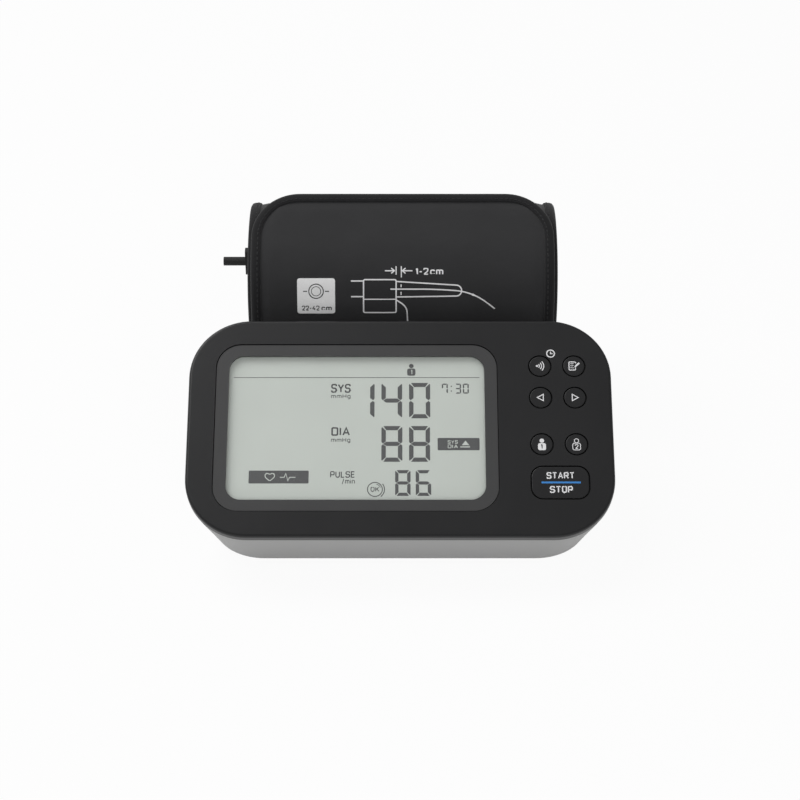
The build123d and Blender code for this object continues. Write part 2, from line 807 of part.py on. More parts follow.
def make_hoses():
    """Pump, valve, pressure sensor and air socket, each joined to the manifold."""
    half = manifold_side / 2
    mouth = sensor_mouth()
    reach = (manifold_y - mouth.Y) / slope_sin
    corner = (manifold_x, manifold_y, mouth.Z - reach * slope_cos)
    return {
        "hose_pump": hose((manifold_x, pump_outlet_y, pump_z), (manifold_x, manifold_y + half, pump_z)),
        "hose_socket": hose((-socket_nozzle_x, manifold_y, pump_z), (manifold_x - half, manifold_y, pump_z)),
        "hose_valve": hose((manifold_x, manifold_y - half, pump_z), (manifold_x, valve_y, pump_z),
                           (valve_x - valve_length / 2, valve_y, pump_z), bend=valve_hose_bend),
        "hose_sensor": hose((manifold_x, manifold_y, pump_z + half), corner, tuple(mouth),
                            bend=sensor_hose_bend),
    }


def wall_reach(y, z, radius):
    """How far out the housing's side wall comes, over the width of a round socket."""
    probe = Pos(underside_width / 2, y, z) * Rot(0, 90, 0) * Cylinder(radius, underside_width / 4)
    return (housing_form(0, housing_top, foot_rise) & probe).bounding_box().max.X


def make_air_socket():
    """A round socket in the left wall for the cuff hose's plug, with a nozzle inside."""
    body = Cylinder(air_socket_radius, air_socket_length, align=on_floor)
    body = chamfer(body.edges().sort_by(Axis.Z)[-1], socket_proud / 2)
    body += Pos(0, 0, -nozzle_length) * Cylinder(nozzle_radius, nozzle_length, align=on_floor)
    body -= Pos(0, 0, air_socket_length - air_bore_length) * Cylinder(
        air_bore, air_bore_length, align=on_floor)
    body -= Pos(0, 0, -nozzle_length) * Cylinder(
        air_throat / 2, nozzle_length + air_socket_length, align=on_floor)
    return Pos(-socket_nozzle_x, manifold_y, pump_z) * Rot(0, -90, 0) * body


def make_power_socket():
    """A coaxial power socket in the right wall: a block, a collar through the wall, a centre pin."""
    collar = Cylinder(power_socket_radius, power_collar_length, align=on_floor)
    block = Pos(0, 0, -power_body_length) * Box(
        power_body_height, power_body_width, power_body_length, align=on_floor)
    bore_start = power_collar_length - power_bore_length
    body = collar + block - Pos(0, 0, bore_start) * Cylinder(power_bore, power_bore_length, align=on_floor)
    body += Pos(0, 0, bore_start) * Cylinder(power_pin_radius, power_pin_length, align=on_floor)
    return Pos(power_face_x - power_collar_length, power_y, power_socket_height) * Rot(0, 90, 0) * body


def polar(centre, radius, angle):
    return (centre[0] + radius * cos(radians(angle)), centre[1] + radius * sin(radians(angle)))


def course(offset, last, tip_inset=0.0):
    """Edges of the roll's path in the YZ plane, from the flap's tip to a stop, this far inwards.

    The path goes down the front, under, up the back and over the top, then round once more:
    the flap's straight end, an arc, the front, an arc, the back, an arc, and so on."""
    top, bottom = (loop_top_y, loop_top_z), (loop_bottom_y, loop_bottom_z)
    radii = [roll_radius + (1 - half) * roll_pitch / 2 - offset for half in range(5)]
    lift = polar(top, radii[0], 90 + flap_lean)
    length = flap_length - tip_inset
    tip = (lift[0] + length * cos(radians(flap_lean)), lift[1] + length * sin(radians(flap_lean)))
    end_turn = inner_end_turn - degrees(tip_inset / radii[4])
    stops = [tip, lift, polar(top, radii[0], 180), polar(bottom, radii[1], 180), polar(bottom, radii[1], 0),
             polar(top, radii[2], 0), polar(top, radii[2], 180), polar(bottom, radii[3], 180),
             polar(bottom, radii[3], 0), polar(top, radii[4], 0), polar(top, radii[4], end_turn)]
    arcs = {1: polar(top, radii[0], 135 + flap_lean / 2), 3: polar(bottom, radii[1], 270),
            5: polar(top, radii[2], 90), 7: polar(bottom, radii[3], 270),
            9: polar(top, radii[4], end_turn / 2)}
    edges = []
    for index in range(last):
        start, end = stops[index], stops[index + 1]
        edges.append(ThreePointArc(start, arcs[index], end) if index in arcs else Line(start, end))
    return edges


def strip(outer, inner, first, last, half_width, tip_inset):
    """The roll between two offsets and two stops, straight across its width."""
    near, far = course(outer, last, tip_inset)[first:], course(inner, last, tip_inset)[first:]
    ends = [Line(near[0] @ 0, far[0] @ 0), Line(near[-1] @ 1, far[-1] @ 1)]
    return Pos(cuff_x, 0, 0) * extrude(Plane.YZ * make_face(near + far + ends), half_width, both=True)


def flap_trim(inset):
    """The flap's outline: drawn in a little above the roll's foot, with round corners at the tip."""
    wide, narrow = cuff_width / 2 - inset, flap_width / 2 - inset
    tall = 2 * unit_height
    sides = Polygon((-wide, 0), (wide, 0), (wide, loop_bottom_z), (narrow, loop_top_z), (narrow, tall),
                    (-narrow, tall), (-narrow, loop_top_z), (-wide, loop_bottom_z), align=None)
    trim = Pos(cuff_x, 0, 0) * extrude(Plane.XZ * sides, set_depth, both=True)
    corner = flap_corner - inset
    tip = course(0, 1, inset)[0] @ 0
    sheet = Plane(origin=(cuff_x, tip.X, tip.Y), x_dir=(1, 0, 0),
                  z_dir=(0, -sin(radians(flap_lean)), cos(radians(flap_lean))))
    for side in (-1, 1):
        square = Pos(side * (narrow - corner / 2), -corner / 2) * Rectangle(corner, corner)
        quarter = square - Pos(side * (narrow - corner), -corner) * Circle(corner)
        trim -= sheet * extrude(quarter, roll_pitch + fabric, both=True)
    return trim


def wrap(outer, inner, first=0, last=10, inset=0.0):
    """One layer of the roll: the flap, trimmed to its outline, and the turns behind it."""
    if first >= 3:
        return strip(outer, inner, first, last, cuff_width / 2 - inset, inset)
    flap = strip(outer, inner, first, min(last, 3), cuff_width / 2 - inset, inset) & flap_trim(inset)
    if last <= 3:
        return flap
    return flap + strip(outer, inner, 3, last, cuff_width / 2 - inset, inset)


def make_cuff():
    """Outer fabric, lining and what lies between them, and the binding sewn round the edge."""
    edge = 2 * binding_proud
    pad_outer = fabric + layer_gap
    core_outer = pad_outer + padding + layer_gap
    lining_outer = core_outer + core + layer_gap
    binding = wrap(-binding_proud, wrap_thickness + binding_proud)
    binding -= wrap(-binding_proud, wrap_thickness + binding_proud, inset=binding_width)
    binding -= wrap(0, wrap_thickness, inset=edge)
    return {
        "cuff_outer_fabric": wrap(0, fabric, inset=edge),
        "cuff_lining": wrap(lining_outer, wrap_thickness, inset=edge),
        "cuff_padding": wrap(pad_outer, pad_outer + padding, 1, 4, bladder_inset),
        "cuff_core": wrap(core_outer, core_outer + core, 1, 4, bladder_inset),
        "cuff_bladder": wrap(pad_outer, core_outer + core, 5, 9, bladder_inset),
        "cuff_binding": binding,
        "cuff_hook_tape": make_hook_tape(),
        "cuff_air_port": make_air_port(),
    }


def make_hook_tape():
    """Hook tape under the flap's end, facing the turn below."""
    tip = course(wrap_thickness, 1)[0] @ 0
    under = Plane(origin=(cuff_x, tip.X, tip.Y), x_dir=(1, 0, 0),
                  z_dir=(0, -sin(radians(flap_lean)), cos(radians(flap_lean))))
    middle = -hook_tape_from_end - hook_tape_length / 2
    tape = Pos(0, middle, -hook_tape_thickness) * Box(
        hook_tape_width, hook_tape_length, hook_tape_thickness, align=on_floor)
    return under * tape


def make_air_port():
    """A moulded boot on the cuff's left edge, with the nozzle that the air hose goes on."""
    boot = Box(port_boot_width, wrap_thickness, port_boot_length, align=on_floor)
    boot = fillet(boot.edges().filter_by(Axis.Z), port_boot_round)
    port = boot + Pos(0, 0, port_boot_length) * Cylinder(
        port_nozzle_radius, port_nozzle_length, align=on_floor)
    port -= Pos(0, 0, port_boot_length) * Cylinder(port_bore, port_nozzle_length, align=on_floor)
    y = loop_bottom_y + roll_radius - wrap_thickness / 2
    return Pos(cuff_side, y, port_height) * Rot(0, -90, 0) * port


socket_nozzle_x = wall_reach(manifold_y, pump_z, air_socket_radius) + socket_proud - air_socket_length
power_face_x = wall_reach(power_y, power_socket_height, power_socket_radius) + socket_proud
power_body_x = power_face_x - power_collar_length - power_body_length / 2


def main():
    os.makedirs("parts", exist_ok=True)
    nodes = {}
    nodes["top_cover"] = make_top_cover()
    nodes["lower_housing"] = make_lower_housing()
    nodes["display_bezel"] = make_display_bezel()
    nodes["display_lens"] = make_display_lens()
    nodes["lcd_panel"] = make_lcd_panel()
    nodes["lcd_frame"] = make_lcd_frame()
    nodes["lcd_connectors"] = make_lcd_connectors()
    nodes["main_board"] = make_main_board()
    nodes["board_screws"] = make_board_screws()
    nodes["board_components"] = make_board_components()
    nodes["buzzer"] = make_buzzer()
    nodes["tact_switches"] = make_tact_switches()
    for name, (x, w) in key_spots().items():
        nodes["key_" + name] = make_round_key(x, w)
    nodes["key_start_stop"] = make_wide_key()
    nodes["case_screws"] = make_case_screws()
    for number, (x, y) in enumerate(foot_spots(), 1):
        nodes[f"foot_{number}"] = make_foot(x, y)
    for index in range(cell_count):
        nodes[f"cell_{index + 1}"] = make_cell(index)
    nodes["spring_contacts"] = make_spring_contacts()
    nodes["plate_contacts"] = make_plate_contacts()
    nodes["battery_cover"] = make_battery_cover()
    nodes["pump_motor"] = make_pump_motor()
    nodes["pump_cushion"] = make_pump_cushion()
    nodes["pump_head"] = make_pump_head()
    nodes["air_manifold"] = make_air_manifold()
    nodes["release_valve"] = make_release_valve()
    nodes["pressure_sensor"] = make_pressure_sensor()
    nodes.update(make_hoses())
    nodes["air_socket"] = make_air_socket()
    nodes["power_socket"] = make_power_socket()
    nodes.update(make_cuff())
    for name, shape in nodes.items():
        export_step(shape, f"parts/{name}.step")


main()
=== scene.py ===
# %% [markdown]
# An upper arm blood pressure monitor: a desk unit with a tilted face, and its cuff rolled up behind it.
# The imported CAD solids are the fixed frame. Hard pieces keep their solids and get a finish here.
# The cuff is soft, so its solids are replaced by modelled fabric, and prints are added as thin ink.

import math

import bmesh
import bpy
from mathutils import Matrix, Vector, geometry, noise


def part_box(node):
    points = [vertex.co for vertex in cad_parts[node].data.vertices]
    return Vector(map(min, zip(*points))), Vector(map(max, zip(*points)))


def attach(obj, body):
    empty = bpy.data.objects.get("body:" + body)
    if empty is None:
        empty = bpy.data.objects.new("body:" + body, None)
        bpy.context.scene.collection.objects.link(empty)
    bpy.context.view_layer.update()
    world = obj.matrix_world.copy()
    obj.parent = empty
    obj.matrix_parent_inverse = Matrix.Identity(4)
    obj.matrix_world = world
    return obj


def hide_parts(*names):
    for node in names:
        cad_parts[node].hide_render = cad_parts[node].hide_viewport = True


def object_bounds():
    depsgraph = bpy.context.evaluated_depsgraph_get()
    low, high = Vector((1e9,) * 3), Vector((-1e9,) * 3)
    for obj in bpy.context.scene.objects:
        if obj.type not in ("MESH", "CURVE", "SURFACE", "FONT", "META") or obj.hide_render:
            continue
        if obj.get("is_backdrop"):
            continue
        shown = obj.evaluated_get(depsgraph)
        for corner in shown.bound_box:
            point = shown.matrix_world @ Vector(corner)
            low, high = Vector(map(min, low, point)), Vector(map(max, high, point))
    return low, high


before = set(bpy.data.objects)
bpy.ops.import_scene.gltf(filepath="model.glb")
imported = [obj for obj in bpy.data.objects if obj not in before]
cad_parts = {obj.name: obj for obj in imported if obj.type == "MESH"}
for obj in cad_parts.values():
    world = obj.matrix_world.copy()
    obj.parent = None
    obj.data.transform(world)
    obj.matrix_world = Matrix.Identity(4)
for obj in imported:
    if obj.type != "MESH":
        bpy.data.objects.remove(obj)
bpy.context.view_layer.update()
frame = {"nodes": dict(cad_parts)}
nodes = frame["nodes"]
MM = 0.001

# %% [markdown]
# Everything on the face is drawn flat: x to the right, w up the slope, lift off the surface.
# Reading the face's plane from the cover's own vertices keeps the prints on it if the solids change.
# Only the tilt is written down here, because it is the one thing that the box doesn't give.

# %% The tilted face
FACE_TILT = math.radians(32.6)
RIM_DEPTH = 4
UP_SLOPE = Vector((0, math.cos(FACE_TILT), math.sin(FACE_TILT)))
OFF_FACE = Vector((0, -math.sin(FACE_TILT), math.cos(FACE_TILT)))
cover_points = [v.co for v in nodes["top_cover"].data.vertices]
face_height = max(p.dot(OFF_FACE) for p in cover_points)
slopes = [p.dot(UP_SLOPE) for p in cover_points if p.dot(OFF_FACE) > face_height - RIM_DEPTH * MM]
FACE_CENTRE = UP_SLOPE * (min(slopes) + max(slopes)) / 2 + OFF_FACE * face_height


def on_face(x, w, lift):
    """A point of the face, in metres, from millimetres."""
    return FACE_CENTRE + Vector((x * MM, 0, 0)) + UP_SLOPE * w * MM + OFF_FACE * lift * MM


print("face centre", [round(v / MM, 2) for v in FACE_CENTRE])

# %% [markdown]
# Shader maths is easier to read as arithmetic than as a list of nodes and links.
# A small class wraps an output socket, and its operators add Math nodes as an expression is worked out.
# Every other kind of node comes from one method: its type, its settings, then its sockets.


# %% Sockets that can be added and multiplied
class Level:
    """One output socket, with arithmetic on it."""

    def __init__(self, nodes, socket):
        self.nodes = nodes
        self.socket = socket

    def work(self, operation, *values, clamp=False):
        settings = {"operation": operation, "use_clamp": clamp}
        return self.nodes.node("ShaderNodeMath", settings, dict(enumerate(values)))

    def __add__(self, other):
        return self.work("ADD", self, other)

    __radd__ = __add__

    def __sub__(self, other):
        return self.work("SUBTRACT", self, other)

    def __rsub__(self, other):
        return self.work("SUBTRACT", other, self)

    def __mul__(self, other):
        return self.work("MULTIPLY", self, other)

    __rmul__ = __mul__

    def wave(self):
        """The socket's cosine, from 0 to 1."""
        return 0.5 + 0.5 * self.work("COSINE", self)

    def limited(self):
        return self.work("ADD", self, 0.0, clamp=True)


class Nodes:
    """A tree of nodes, of a material or of the world."""

    def __init__(self, tree):
        self.tree = tree

    def node(self, kind, settings=None, inputs=None, output=0):
        """Adds a node: its settings first, then the values or links of its sockets."""
        made = self.tree.nodes.new(kind)
        for key, value in (settings or {}).items():
            if key == "stops":
                for place, colour in value[2:]:
                    made.color_ramp.elements.new(place)
                for stop, (place, colour) in zip(made.color_ramp.elements, value):
                    stop.position = place
                    stop.color = (*colour, 1)
            else:
                setattr(made, key, value)
        for key, value in (inputs or {}).items():
            self.feed(made.inputs[key], value)
        return Level(self, made.outputs[output])

    def feed(self, socket, value):
        if isinstance(value, Level):
            self.tree.links.new(value.socket, socket)
        else:
            socket.default_value = value


print("sockets take + - * and feed other nodes")

# %% [markdown]
# A finish is one material with a Principled shader at its end. Its grain comes from object coordinates,
# in true metres, so the same plastic has the same grain on a key and on the cover. A generated or window
# coordinate would be easier to place, but it stretches with the piece or slides with the camera.


# %% One material
class Finish(Nodes):
    """One material, with a Principled shader at its end."""

    def __init__(self, name, **shader):
        self.material = bpy.data.materials.new(name)
        self.material.use_nodes = True
        super().__init__(self.material.node_tree)
        self.shader = self.tree.nodes["Principled BSDF"]
        self.set(**shader)

    def set(self, **shader):
        """Sets or links inputs of the shader: base_color means Base Color."""
        names = {"specular": "Specular IOR Level"}
        for key, value in shader.items():
            name = names.get(key, key.replace("_", " ").title())
            if name == "Base Color" and not isinstance(value, Level):
                value = (*value, 1)
            self.feed(self.shader.inputs[name], value)
        return self

    def place(self, scale=1.0, stretch=(1, 1, 1)):
        """Object coordinates, scaled; the object's own metres, so grain has a true size."""
        where = self.node("ShaderNodeTexCoord", output="Object")
        return self.node("ShaderNodeMapping", {}, {"Vector": where, "Scale": [scale * s for s in stretch]})

    def grain(self, size, detail=2.0, roughness=0.5, stretch=(1, 1, 1)):
        """Noise with features of about this size, in millimetres."""
        where = self.place(1.0, stretch)
        inputs = {"Vector": where, "Scale": 1 / (size * MM), "Detail": detail, "Roughness": roughness}
        return self.node("ShaderNodeTexNoise", {}, inputs)

    def mixed(self, share, low, high):
        """A colour between two, by a level from 0 to 1."""
        inputs = {0: share, 6: (*low, 1), 7: (*high, 1)}
        return self.node("ShaderNodeMix", {"data_type": "RGBA"}, inputs, output=2)

    def bump(self, height, depth, strength=1.0):
        """A relief this deep, in millimetres, from a level from 0 to 1."""
        inputs = {"Height": height, "Distance": depth * MM, "Strength": strength}
        return self.node("ShaderNodeBump", {}, inputs)


# %% [markdown]
# The photograph's view: straight on, 35 degrees above the table, with a long lens from about 0.9 m.
# The camera looks at a point a little up the slope from the face's centre. The small shift of the lens
# moves the picture by less than a pixel, which a turn of the camera would do with a tilt besides.

# %% Camera
SENSOR = 36.0
LENS = 92.25
ELEVATION = math.radians(35.0)
CAMERA_DISTANCE = 0.9227
LOOK_UP_SLOPE = 0.0125
PICTURE_SIDE = 800
MIDDLE_COLUMN = 400.1
MIDDLE_ROW = 400.5
target = FACE_CENTRE + UP_SLOPE * LOOK_UP_SLOPE
away = Vector((0, -math.cos(ELEVATION), math.sin(ELEVATION)))
lens = bpy.data.cameras.new("camera")
lens.lens = LENS
lens.sensor_width = SENSOR
lens.shift_x = (PICTURE_SIDE / 2 - MIDDLE_COLUMN) / PICTURE_SIDE
lens.shift_y = (MIDDLE_ROW - PICTURE_SIDE / 2) / PICTURE_SIDE
camera = bpy.data.objects.new("camera", lens)
camera.location = target + away * CAMERA_DISTANCE
camera.rotation_euler = (math.pi / 2 - ELEVATION, 0, 0)
bpy.context.scene.collection.objects.link(camera)
bpy.context.scene.camera = camera
bpy.context.scene.view_settings.view_transform = "Standard"
print("camera at", [round(v, 4) for v in camera.location])


# %% [markdown]
# A studio set for a product picture stands on white paper. The paper could be lit until it is white, but
# then the object would be too bright. Instead the camera, and what mirrors or looks through, sees most of
# it as a plain white glow, while the rest stays a surface that takes the object's shadow.

# %% Paper floor
FLOOR_HALF = 3.0
SWEEP_SHARE = 0.94
PAPER_COLOUR = (0.86, 0.86, 0.86)


def make_object(name, mesh):
    made = bpy.data.objects.new(name, mesh)
    bpy.context.scene.collection.objects.link(made)
    return made


def make_stage():
    mesh = bpy.data.meshes.new("floor")
    half = FLOOR_HALF
    corners = [(-half, -half, 0), (half, -half, 0), (half, half, 0), (-half, half, 0)]
    mesh.from_pydata(corners, [], [(0, 1, 2, 3)])
    floor = make_object("floor", mesh)
    floor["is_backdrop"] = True
    paper = Finish("paper", base_color=PAPER_COLOUR, roughness=0.9)
    camera_ray = paper.node("ShaderNodeLightPath", output="Is Camera Ray")
    path = camera_ray.socket.node
    seen = camera_ray + Level(paper, path.outputs["Is Glossy Ray"])
    seen = (seen + Level(paper, path.outputs["Is Transmission Ray"])).limited()
    shine = paper.node("ShaderNodeEmission", {}, {"Color": (1, 1, 1, 1), "Strength": 1.0})
    plain = Level(paper, paper.shader.outputs[0])
    both = paper.node("ShaderNodeMixShader", {}, {0: seen * SWEEP_SHARE, 1: plain, 2: shine})
    paper.feed(paper.tree.nodes["Material Output"].inputs["Surface"], both)
    mesh.materials.append(paper.material)


make_stage()
print("floor", 2 * FLOOR_HALF, "m wide")

# %% [markdown]
# The world is white to the camera, and dimmer for the light that it gives, so that lamps shape the
# object. Two soft lamps are enough. The black face is seen mostly by what it mirrors, and it mirrors
# nearly straight up, so the big lamp above and behind on the left sets how the tone runs across it. The
# other lamp stands in front and fills the cuff and the housing. It isn't mirrored, or the edge that faces
# the camera would turn pale.

# %% World and lamps
WORLD_LEVEL = 0.31


def make_world():
    world = bpy.data.worlds.new("studio")
    world.use_nodes = True
    bpy.context.scene.world = world
    nodes = Nodes(world.node_tree)
    background = world.node_tree.nodes["Background"].inputs
    camera_ray = nodes.node("ShaderNodeLightPath", output="Is Camera Ray")
    nodes.feed(background["Color"], (1, 1, 1, 1))
    nodes.feed(background["Strength"], WORLD_LEVEL + (1 - WORLD_LEVEL) * camera_ray)


def make_lamp(name, place, side, power, mirrored=True):
    light = bpy.data.lights.new(name, "AREA")
    light.shape = "RECTANGLE"
    light.size = light.size_y = side
    light.energy = power
    lamp = make_object(name, light)
    lamp.location = place
    lamp.rotation_euler = (FACE_CENTRE - Vector(place)).to_track_quat("-Z", "Y").to_euler()
    lamp.visible_glossy = mirrored
    print(name, power, "W,", round((FACE_CENTRE - Vector(place)).length, 2), "m away")


make_world()
make_lamp("key_lamp", (-0.72, 0.32, 1.3), 1.0, 11.5)
make_lamp("front_lamp", (0.1, -1.3, 0.75), 0.9, 6.0, mirrored=False)

# %% [markdown]
# The unit is moulded plastic: a charcoal cover and keys with a fine spark-eroded grain, and a pale grey
# housing. The grain is a quarter of a millimetre, far too small to model, so it is a bump.
# A wide soft noise shifts tone and gloss a little, as handled plastic does.


# %% Finishes of the hard pieces
def moulded(name, low, high, roughness, grain=0.25, relief=0.012, spread=22.0, gloss=0.06):
    """Moulded plastic: two near tones, a fine grain, and gloss that drifts over the part."""
    finish = Finish(name)
    drift = finish.grain(spread, 3.0)
    fine = finish.grain(grain, 2.0)
    finish.set(base_color=finish.mixed(drift, low, high),
               roughness=roughness + gloss * (drift - 0.5) + 0.08 * (fine - 0.5),
               normal=finish.bump(fine, relief))
    return finish


def metal(name, colour, roughness, stretch=(1, 12, 1)):
    """Rolled or turned metal: streaks along one way, in gloss and in a slight relief."""
    finish = Finish(name, base_color=colour, metallic=1.0)
    streak = finish.grain(1.5, 4.0, stretch=stretch)
    return finish.set(roughness=roughness + 0.2 * (streak - 0.5), normal=finish.bump(streak, 0.01))


def ink(name, colour, roughness=0.5):
    """Printed ink, a little uneven where the screen let less through."""
    finish = Finish(name)
    patch = finish.grain(0.6, 3.0)
    worn = [0.86 * c for c in colour]
    return finish.set(base_color=finish.mixed(patch, worn, colour), roughness=roughness,
                      normal=finish.bump(patch, 0.004))


charcoal = moulded("charcoal_plastic", (0.008, 0.008, 0.009), (0.012, 0.012, 0.013), 0.42)
key_black = moulded("key_plastic", (0.008, 0.008, 0.009), (0.012, 0.012, 0.013), 0.42)
bezel_grey = moulded("bezel_plastic", (0.054, 0.054, 0.055), (0.062, 0.062, 0.063), 0.31, relief=0.006)
white_plastic = moulded("white_plastic", (0.375, 0.375, 0.375), (0.405, 0.405, 0.40), 0.50)
socket_black = moulded("socket_plastic", (0.018, 0.018, 0.018), (0.026, 0.026, 0.026), 0.5)
natural = moulded("natural_plastic", (0.55, 0.54, 0.50), (0.62, 0.61, 0.58), 0.5)
soft_black = moulded("black_rubber", (0.018, 0.018, 0.018), (0.030, 0.030, 0.030), 0.72, 0.4, 0.02)
silicone = moulded("clear_silicone", (0.60, 0.60, 0.57), (0.70, 0.70, 0.67), 0.35, 0.8, 0.005)
board = moulded("solder_resist", (0.012, 0.11, 0.04), (0.02, 0.16, 0.06), 0.4, 0.8, 0.006)
jacket = moulded("cell_jacket", (0.015, 0.03, 0.10), (0.02, 0.04, 0.14), 0.3, 0.8, 0.003)
steel = metal("zinc_steel", (0.56, 0.56, 0.55), 0.38)
nickel = metal("nickel_steel", (0.66, 0.64, 0.60), 0.3)
white_ink = ink("white_ink", (0.92, 0.92, 0.93))
blue_ink = ink("blue_ink", (0.05, 0.27, 0.70))

# %% [markdown]
# A reflective display is a grey-green glass sandwich behind a clear window. The window must not look
# like a mirror, so it is nearly transparent and keeps only a weak gloss.

# %% Display glass and window
display = Finish("display_glass", roughness=0.45)
cloud = display.grain(30.0, 2.0)
speck = display.grain(0.35, 2.0)
tint = 0.75 * cloud + 0.25 * speck
display.set(base_color=display.mixed(tint, (0.57, 0.61, 0.565), (0.64, 0.685, 0.635)))
display_ink = ink("display_ink", (0.030, 0.031, 0.033), 0.55)
window = Finish("clear_window", base_color=(0.9, 0.92, 0.92), alpha=0.05)
smear = window.grain(18.0, 3.0)
window.set(roughness=0.06 + 0.06 * smear)

FINISH_OF = {
    "top_cover": charcoal, "display_bezel": bezel_grey, "lower_housing": white_plastic,
    "battery_cover": white_plastic, "display_lens": window, "lcd_panel": display,
    "lcd_frame": natural, "lcd_connectors": soft_black, "main_board": board, "board_screws": steel,
    "case_screws": steel, "board_components": socket_black, "buzzer": socket_black,
    "tact_switches": socket_black, "spring_contacts": nickel, "plate_contacts": nickel,
    "pump_motor": steel, "pump_cushion": soft_black, "pump_head": natural, "air_manifold": natural,
    "release_valve": steel, "pressure_sensor": natural, "air_socket": socket_black,
    "power_socket": socket_black, "cuff_air_port": soft_black,
}
for name, node in nodes.items():
    start = name.split("_")[0]
    by_start = {"key": key_black, "foot": soft_black, "cell": jacket, "hose": silicone}
    finish = FINISH_OF.get(name) or by_start.get(start)
    if finish:
        node.data.materials.clear()
        node.data.materials.append(finish.material)
print("finished", sum(1 for n in nodes.values() if n.data.materials))


# %% [markdown]
# Each piece that is added here needs two things besides its mesh: a finish and the body that carries
# it. One helper gives both.

# %% Dressing a piece
def dress(piece, finish, body):
    """Gives an added piece its material and the body that carries it."""
    piece.data.materials.append(finish.material)
    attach(piece, body)
    print(piece.name, len(piece.data.polygons), "faces, on", body)


def smooth_object(mesh, name):
    """A smooth-shaded object from a mesh in the making."""
    bmesh.ops.recalc_face_normals(mesh, faces=mesh.faces)
    data = bpy.data.meshes.new(name)
    mesh.to_mesh(data)
    mesh.free()
    for polygon in data.polygons:
        polygon.use_smooth = True
    return make_object(name, data)


print("helpers for added pieces")

# %% [markdown]
# Signs and figures are drawn flat, in millimetres, from lines and arcs. Real lettering of this kind has
# round corners, so a polyline's corners are rounded by short curves. A curve object could do that, but
# plain points can also be laid on a bent surface.


# %% Rounded lines and arcs
def rounded(points, radius, closed=False, steps=5):
    """The points' polyline with its corners rounded."""
    count = len(points)
    inner = range(count) if closed else range(1, count - 1)
    out = [] if closed else [Vector(points[0])]
    for i in inner:
        a, b, c = (Vector(points[(i + k) % count]) for k in (-1, 0, 1))
        reach = min(radius, (a - b).length / 2, (c - b).length / 2)
        start, end = b + (a - b).normalized() * reach, b + (c - b).normalized() * reach
        for k in range(steps + 1):
            t = k / steps
            out.append(start * (1 - t) ** 2 + b * 2 * t * (1 - t) + end * t * t)
    if not closed:
        out.append(Vector(points[-1]))
    return out


def arc(centre, radius, start, end, steps=24):
    """Points of an arc, between two angles in degrees."""
    turn = [math.radians(start + (end - start) * k / steps) for k in range(steps + 1)]
    return [Vector((centre[0] + radius * math.cos(t), centre[1] + radius * math.sin(t))) for t in turn]


def side_steps(points, closed):
    """At each point, the direction square to the line, long enough to keep a mitred width."""
    count = len(points)
    steps = []
    for i in range(count):
        before = points[i] - points[i - 1] if closed or i else points[1] - points[0]
        after = points[(i + 1) % count] - points[i] if closed or i < count - 1 else before
        a, b = before.normalized(), after.normalized()
        middle = (a + b).normalized() if (a + b).length > 1e-6 else a
        normal = Vector((-middle.y, middle.x))
        steps.append(normal / max(0.5, normal.dot(Vector((-a.y, a.x)))))
    return steps


print("a rounded corner of", len(rounded([(0, 0), (1, 0), (1, 1)], 0.5)), "points")

# %% [markdown]
# Prints are ink with a real, very small thickness. Each is drawn flat as strokes and filled shapes, then
# laid on its surface by a function that turns (x, y, lift) into a point. Long edges are cut first where
# the ink has to follow a curve. An image would be simpler, but it has no edge of its own and depends on
# a file.


# %% Ink as thin pieces
CUT_ROUNDS = 4


class Drawing:
    """Flat shapes in millimetres, laid on a surface at the end as one thin piece of ink."""

    def __init__(self):
        self.loops = []

    def shape(self, *loops):
        """A filled shape: its outline, then any holes."""
        self.loops.append([[Vector(p).to_2d() for p in loop] for loop in loops])

    def stroke(self, points, width, closed=False):
        """A line of even width."""
        points = [Vector(p).to_2d() for p in points]
        sides = side_steps(points, closed)
        left = [p + s * width / 2 for p, s in zip(points, sides)]
        right = [p - s * width / 2 for p, s in zip(points, sides)]
        if closed:
            self.shape(left, right)
        else:
            self.shape(left + right[::-1])

    def ring(self, centre, radius, width):
        self.stroke(arc(centre, radius, 0, 350, 35), width, closed=True)

    def lay(self, name, surface, thickness=0.04, base=0.0, longest=None):
        """Makes the ink: a top, a bottom and walls, on surface(x, y, lift)."""
        mesh = bmesh.new()
        for loops in self.loops:
            flat = [[p.to_3d() for p in loop] for loop in loops]
            corners = [p for loop in flat for p in loop]
            faces = geometry.tessellate_polygon(flat)
            made = [mesh.verts.new(p) for p in corners]
            for face in faces:
                if len(set(face)) == 3:
                    mesh.faces.new([made[i] for i in face])
        bmesh.ops.recalc_face_normals(mesh, faces=mesh.faces)
        for face in mesh.faces:
            if face.normal.z < 0:
                face.normal_flip()
        if longest:
            for _ in range(CUT_ROUNDS):
                long = [e for e in mesh.edges if e.calc_length() > longest]
                if long:
                    bmesh.ops.subdivide_edges(mesh, edges=long, cuts=1)
                    bmesh.ops.triangulate(mesh, faces=mesh.faces)
        thick = bmesh.ops.extrude_face_region(mesh, geom=mesh.faces[:], use_keep_orig=True)
        top = [v for v in thick["geom"] if isinstance(v, bmesh.types.BMVert)]
        for vertex in top:
            vertex.co.z = thickness
        for vertex in mesh.verts:
            vertex.co = surface(vertex.co.x, vertex.co.y, base + vertex.co.z)
        bmesh.ops.recalc_face_normals(mesh, faces=mesh.faces)
        data = bpy.data.meshes.new(name)
        mesh.to_mesh(data)
        mesh.free()
        return make_object(name, data)


print("ink is laid with at most", CUT_ROUNDS, "rounds of cuts")

# %% [markdown]
# The lettering on such a unit has even strokes and round corners. A small set of letters, each a
# few strokes on a grid six units high, gives both, and its strokes grow with the letters.

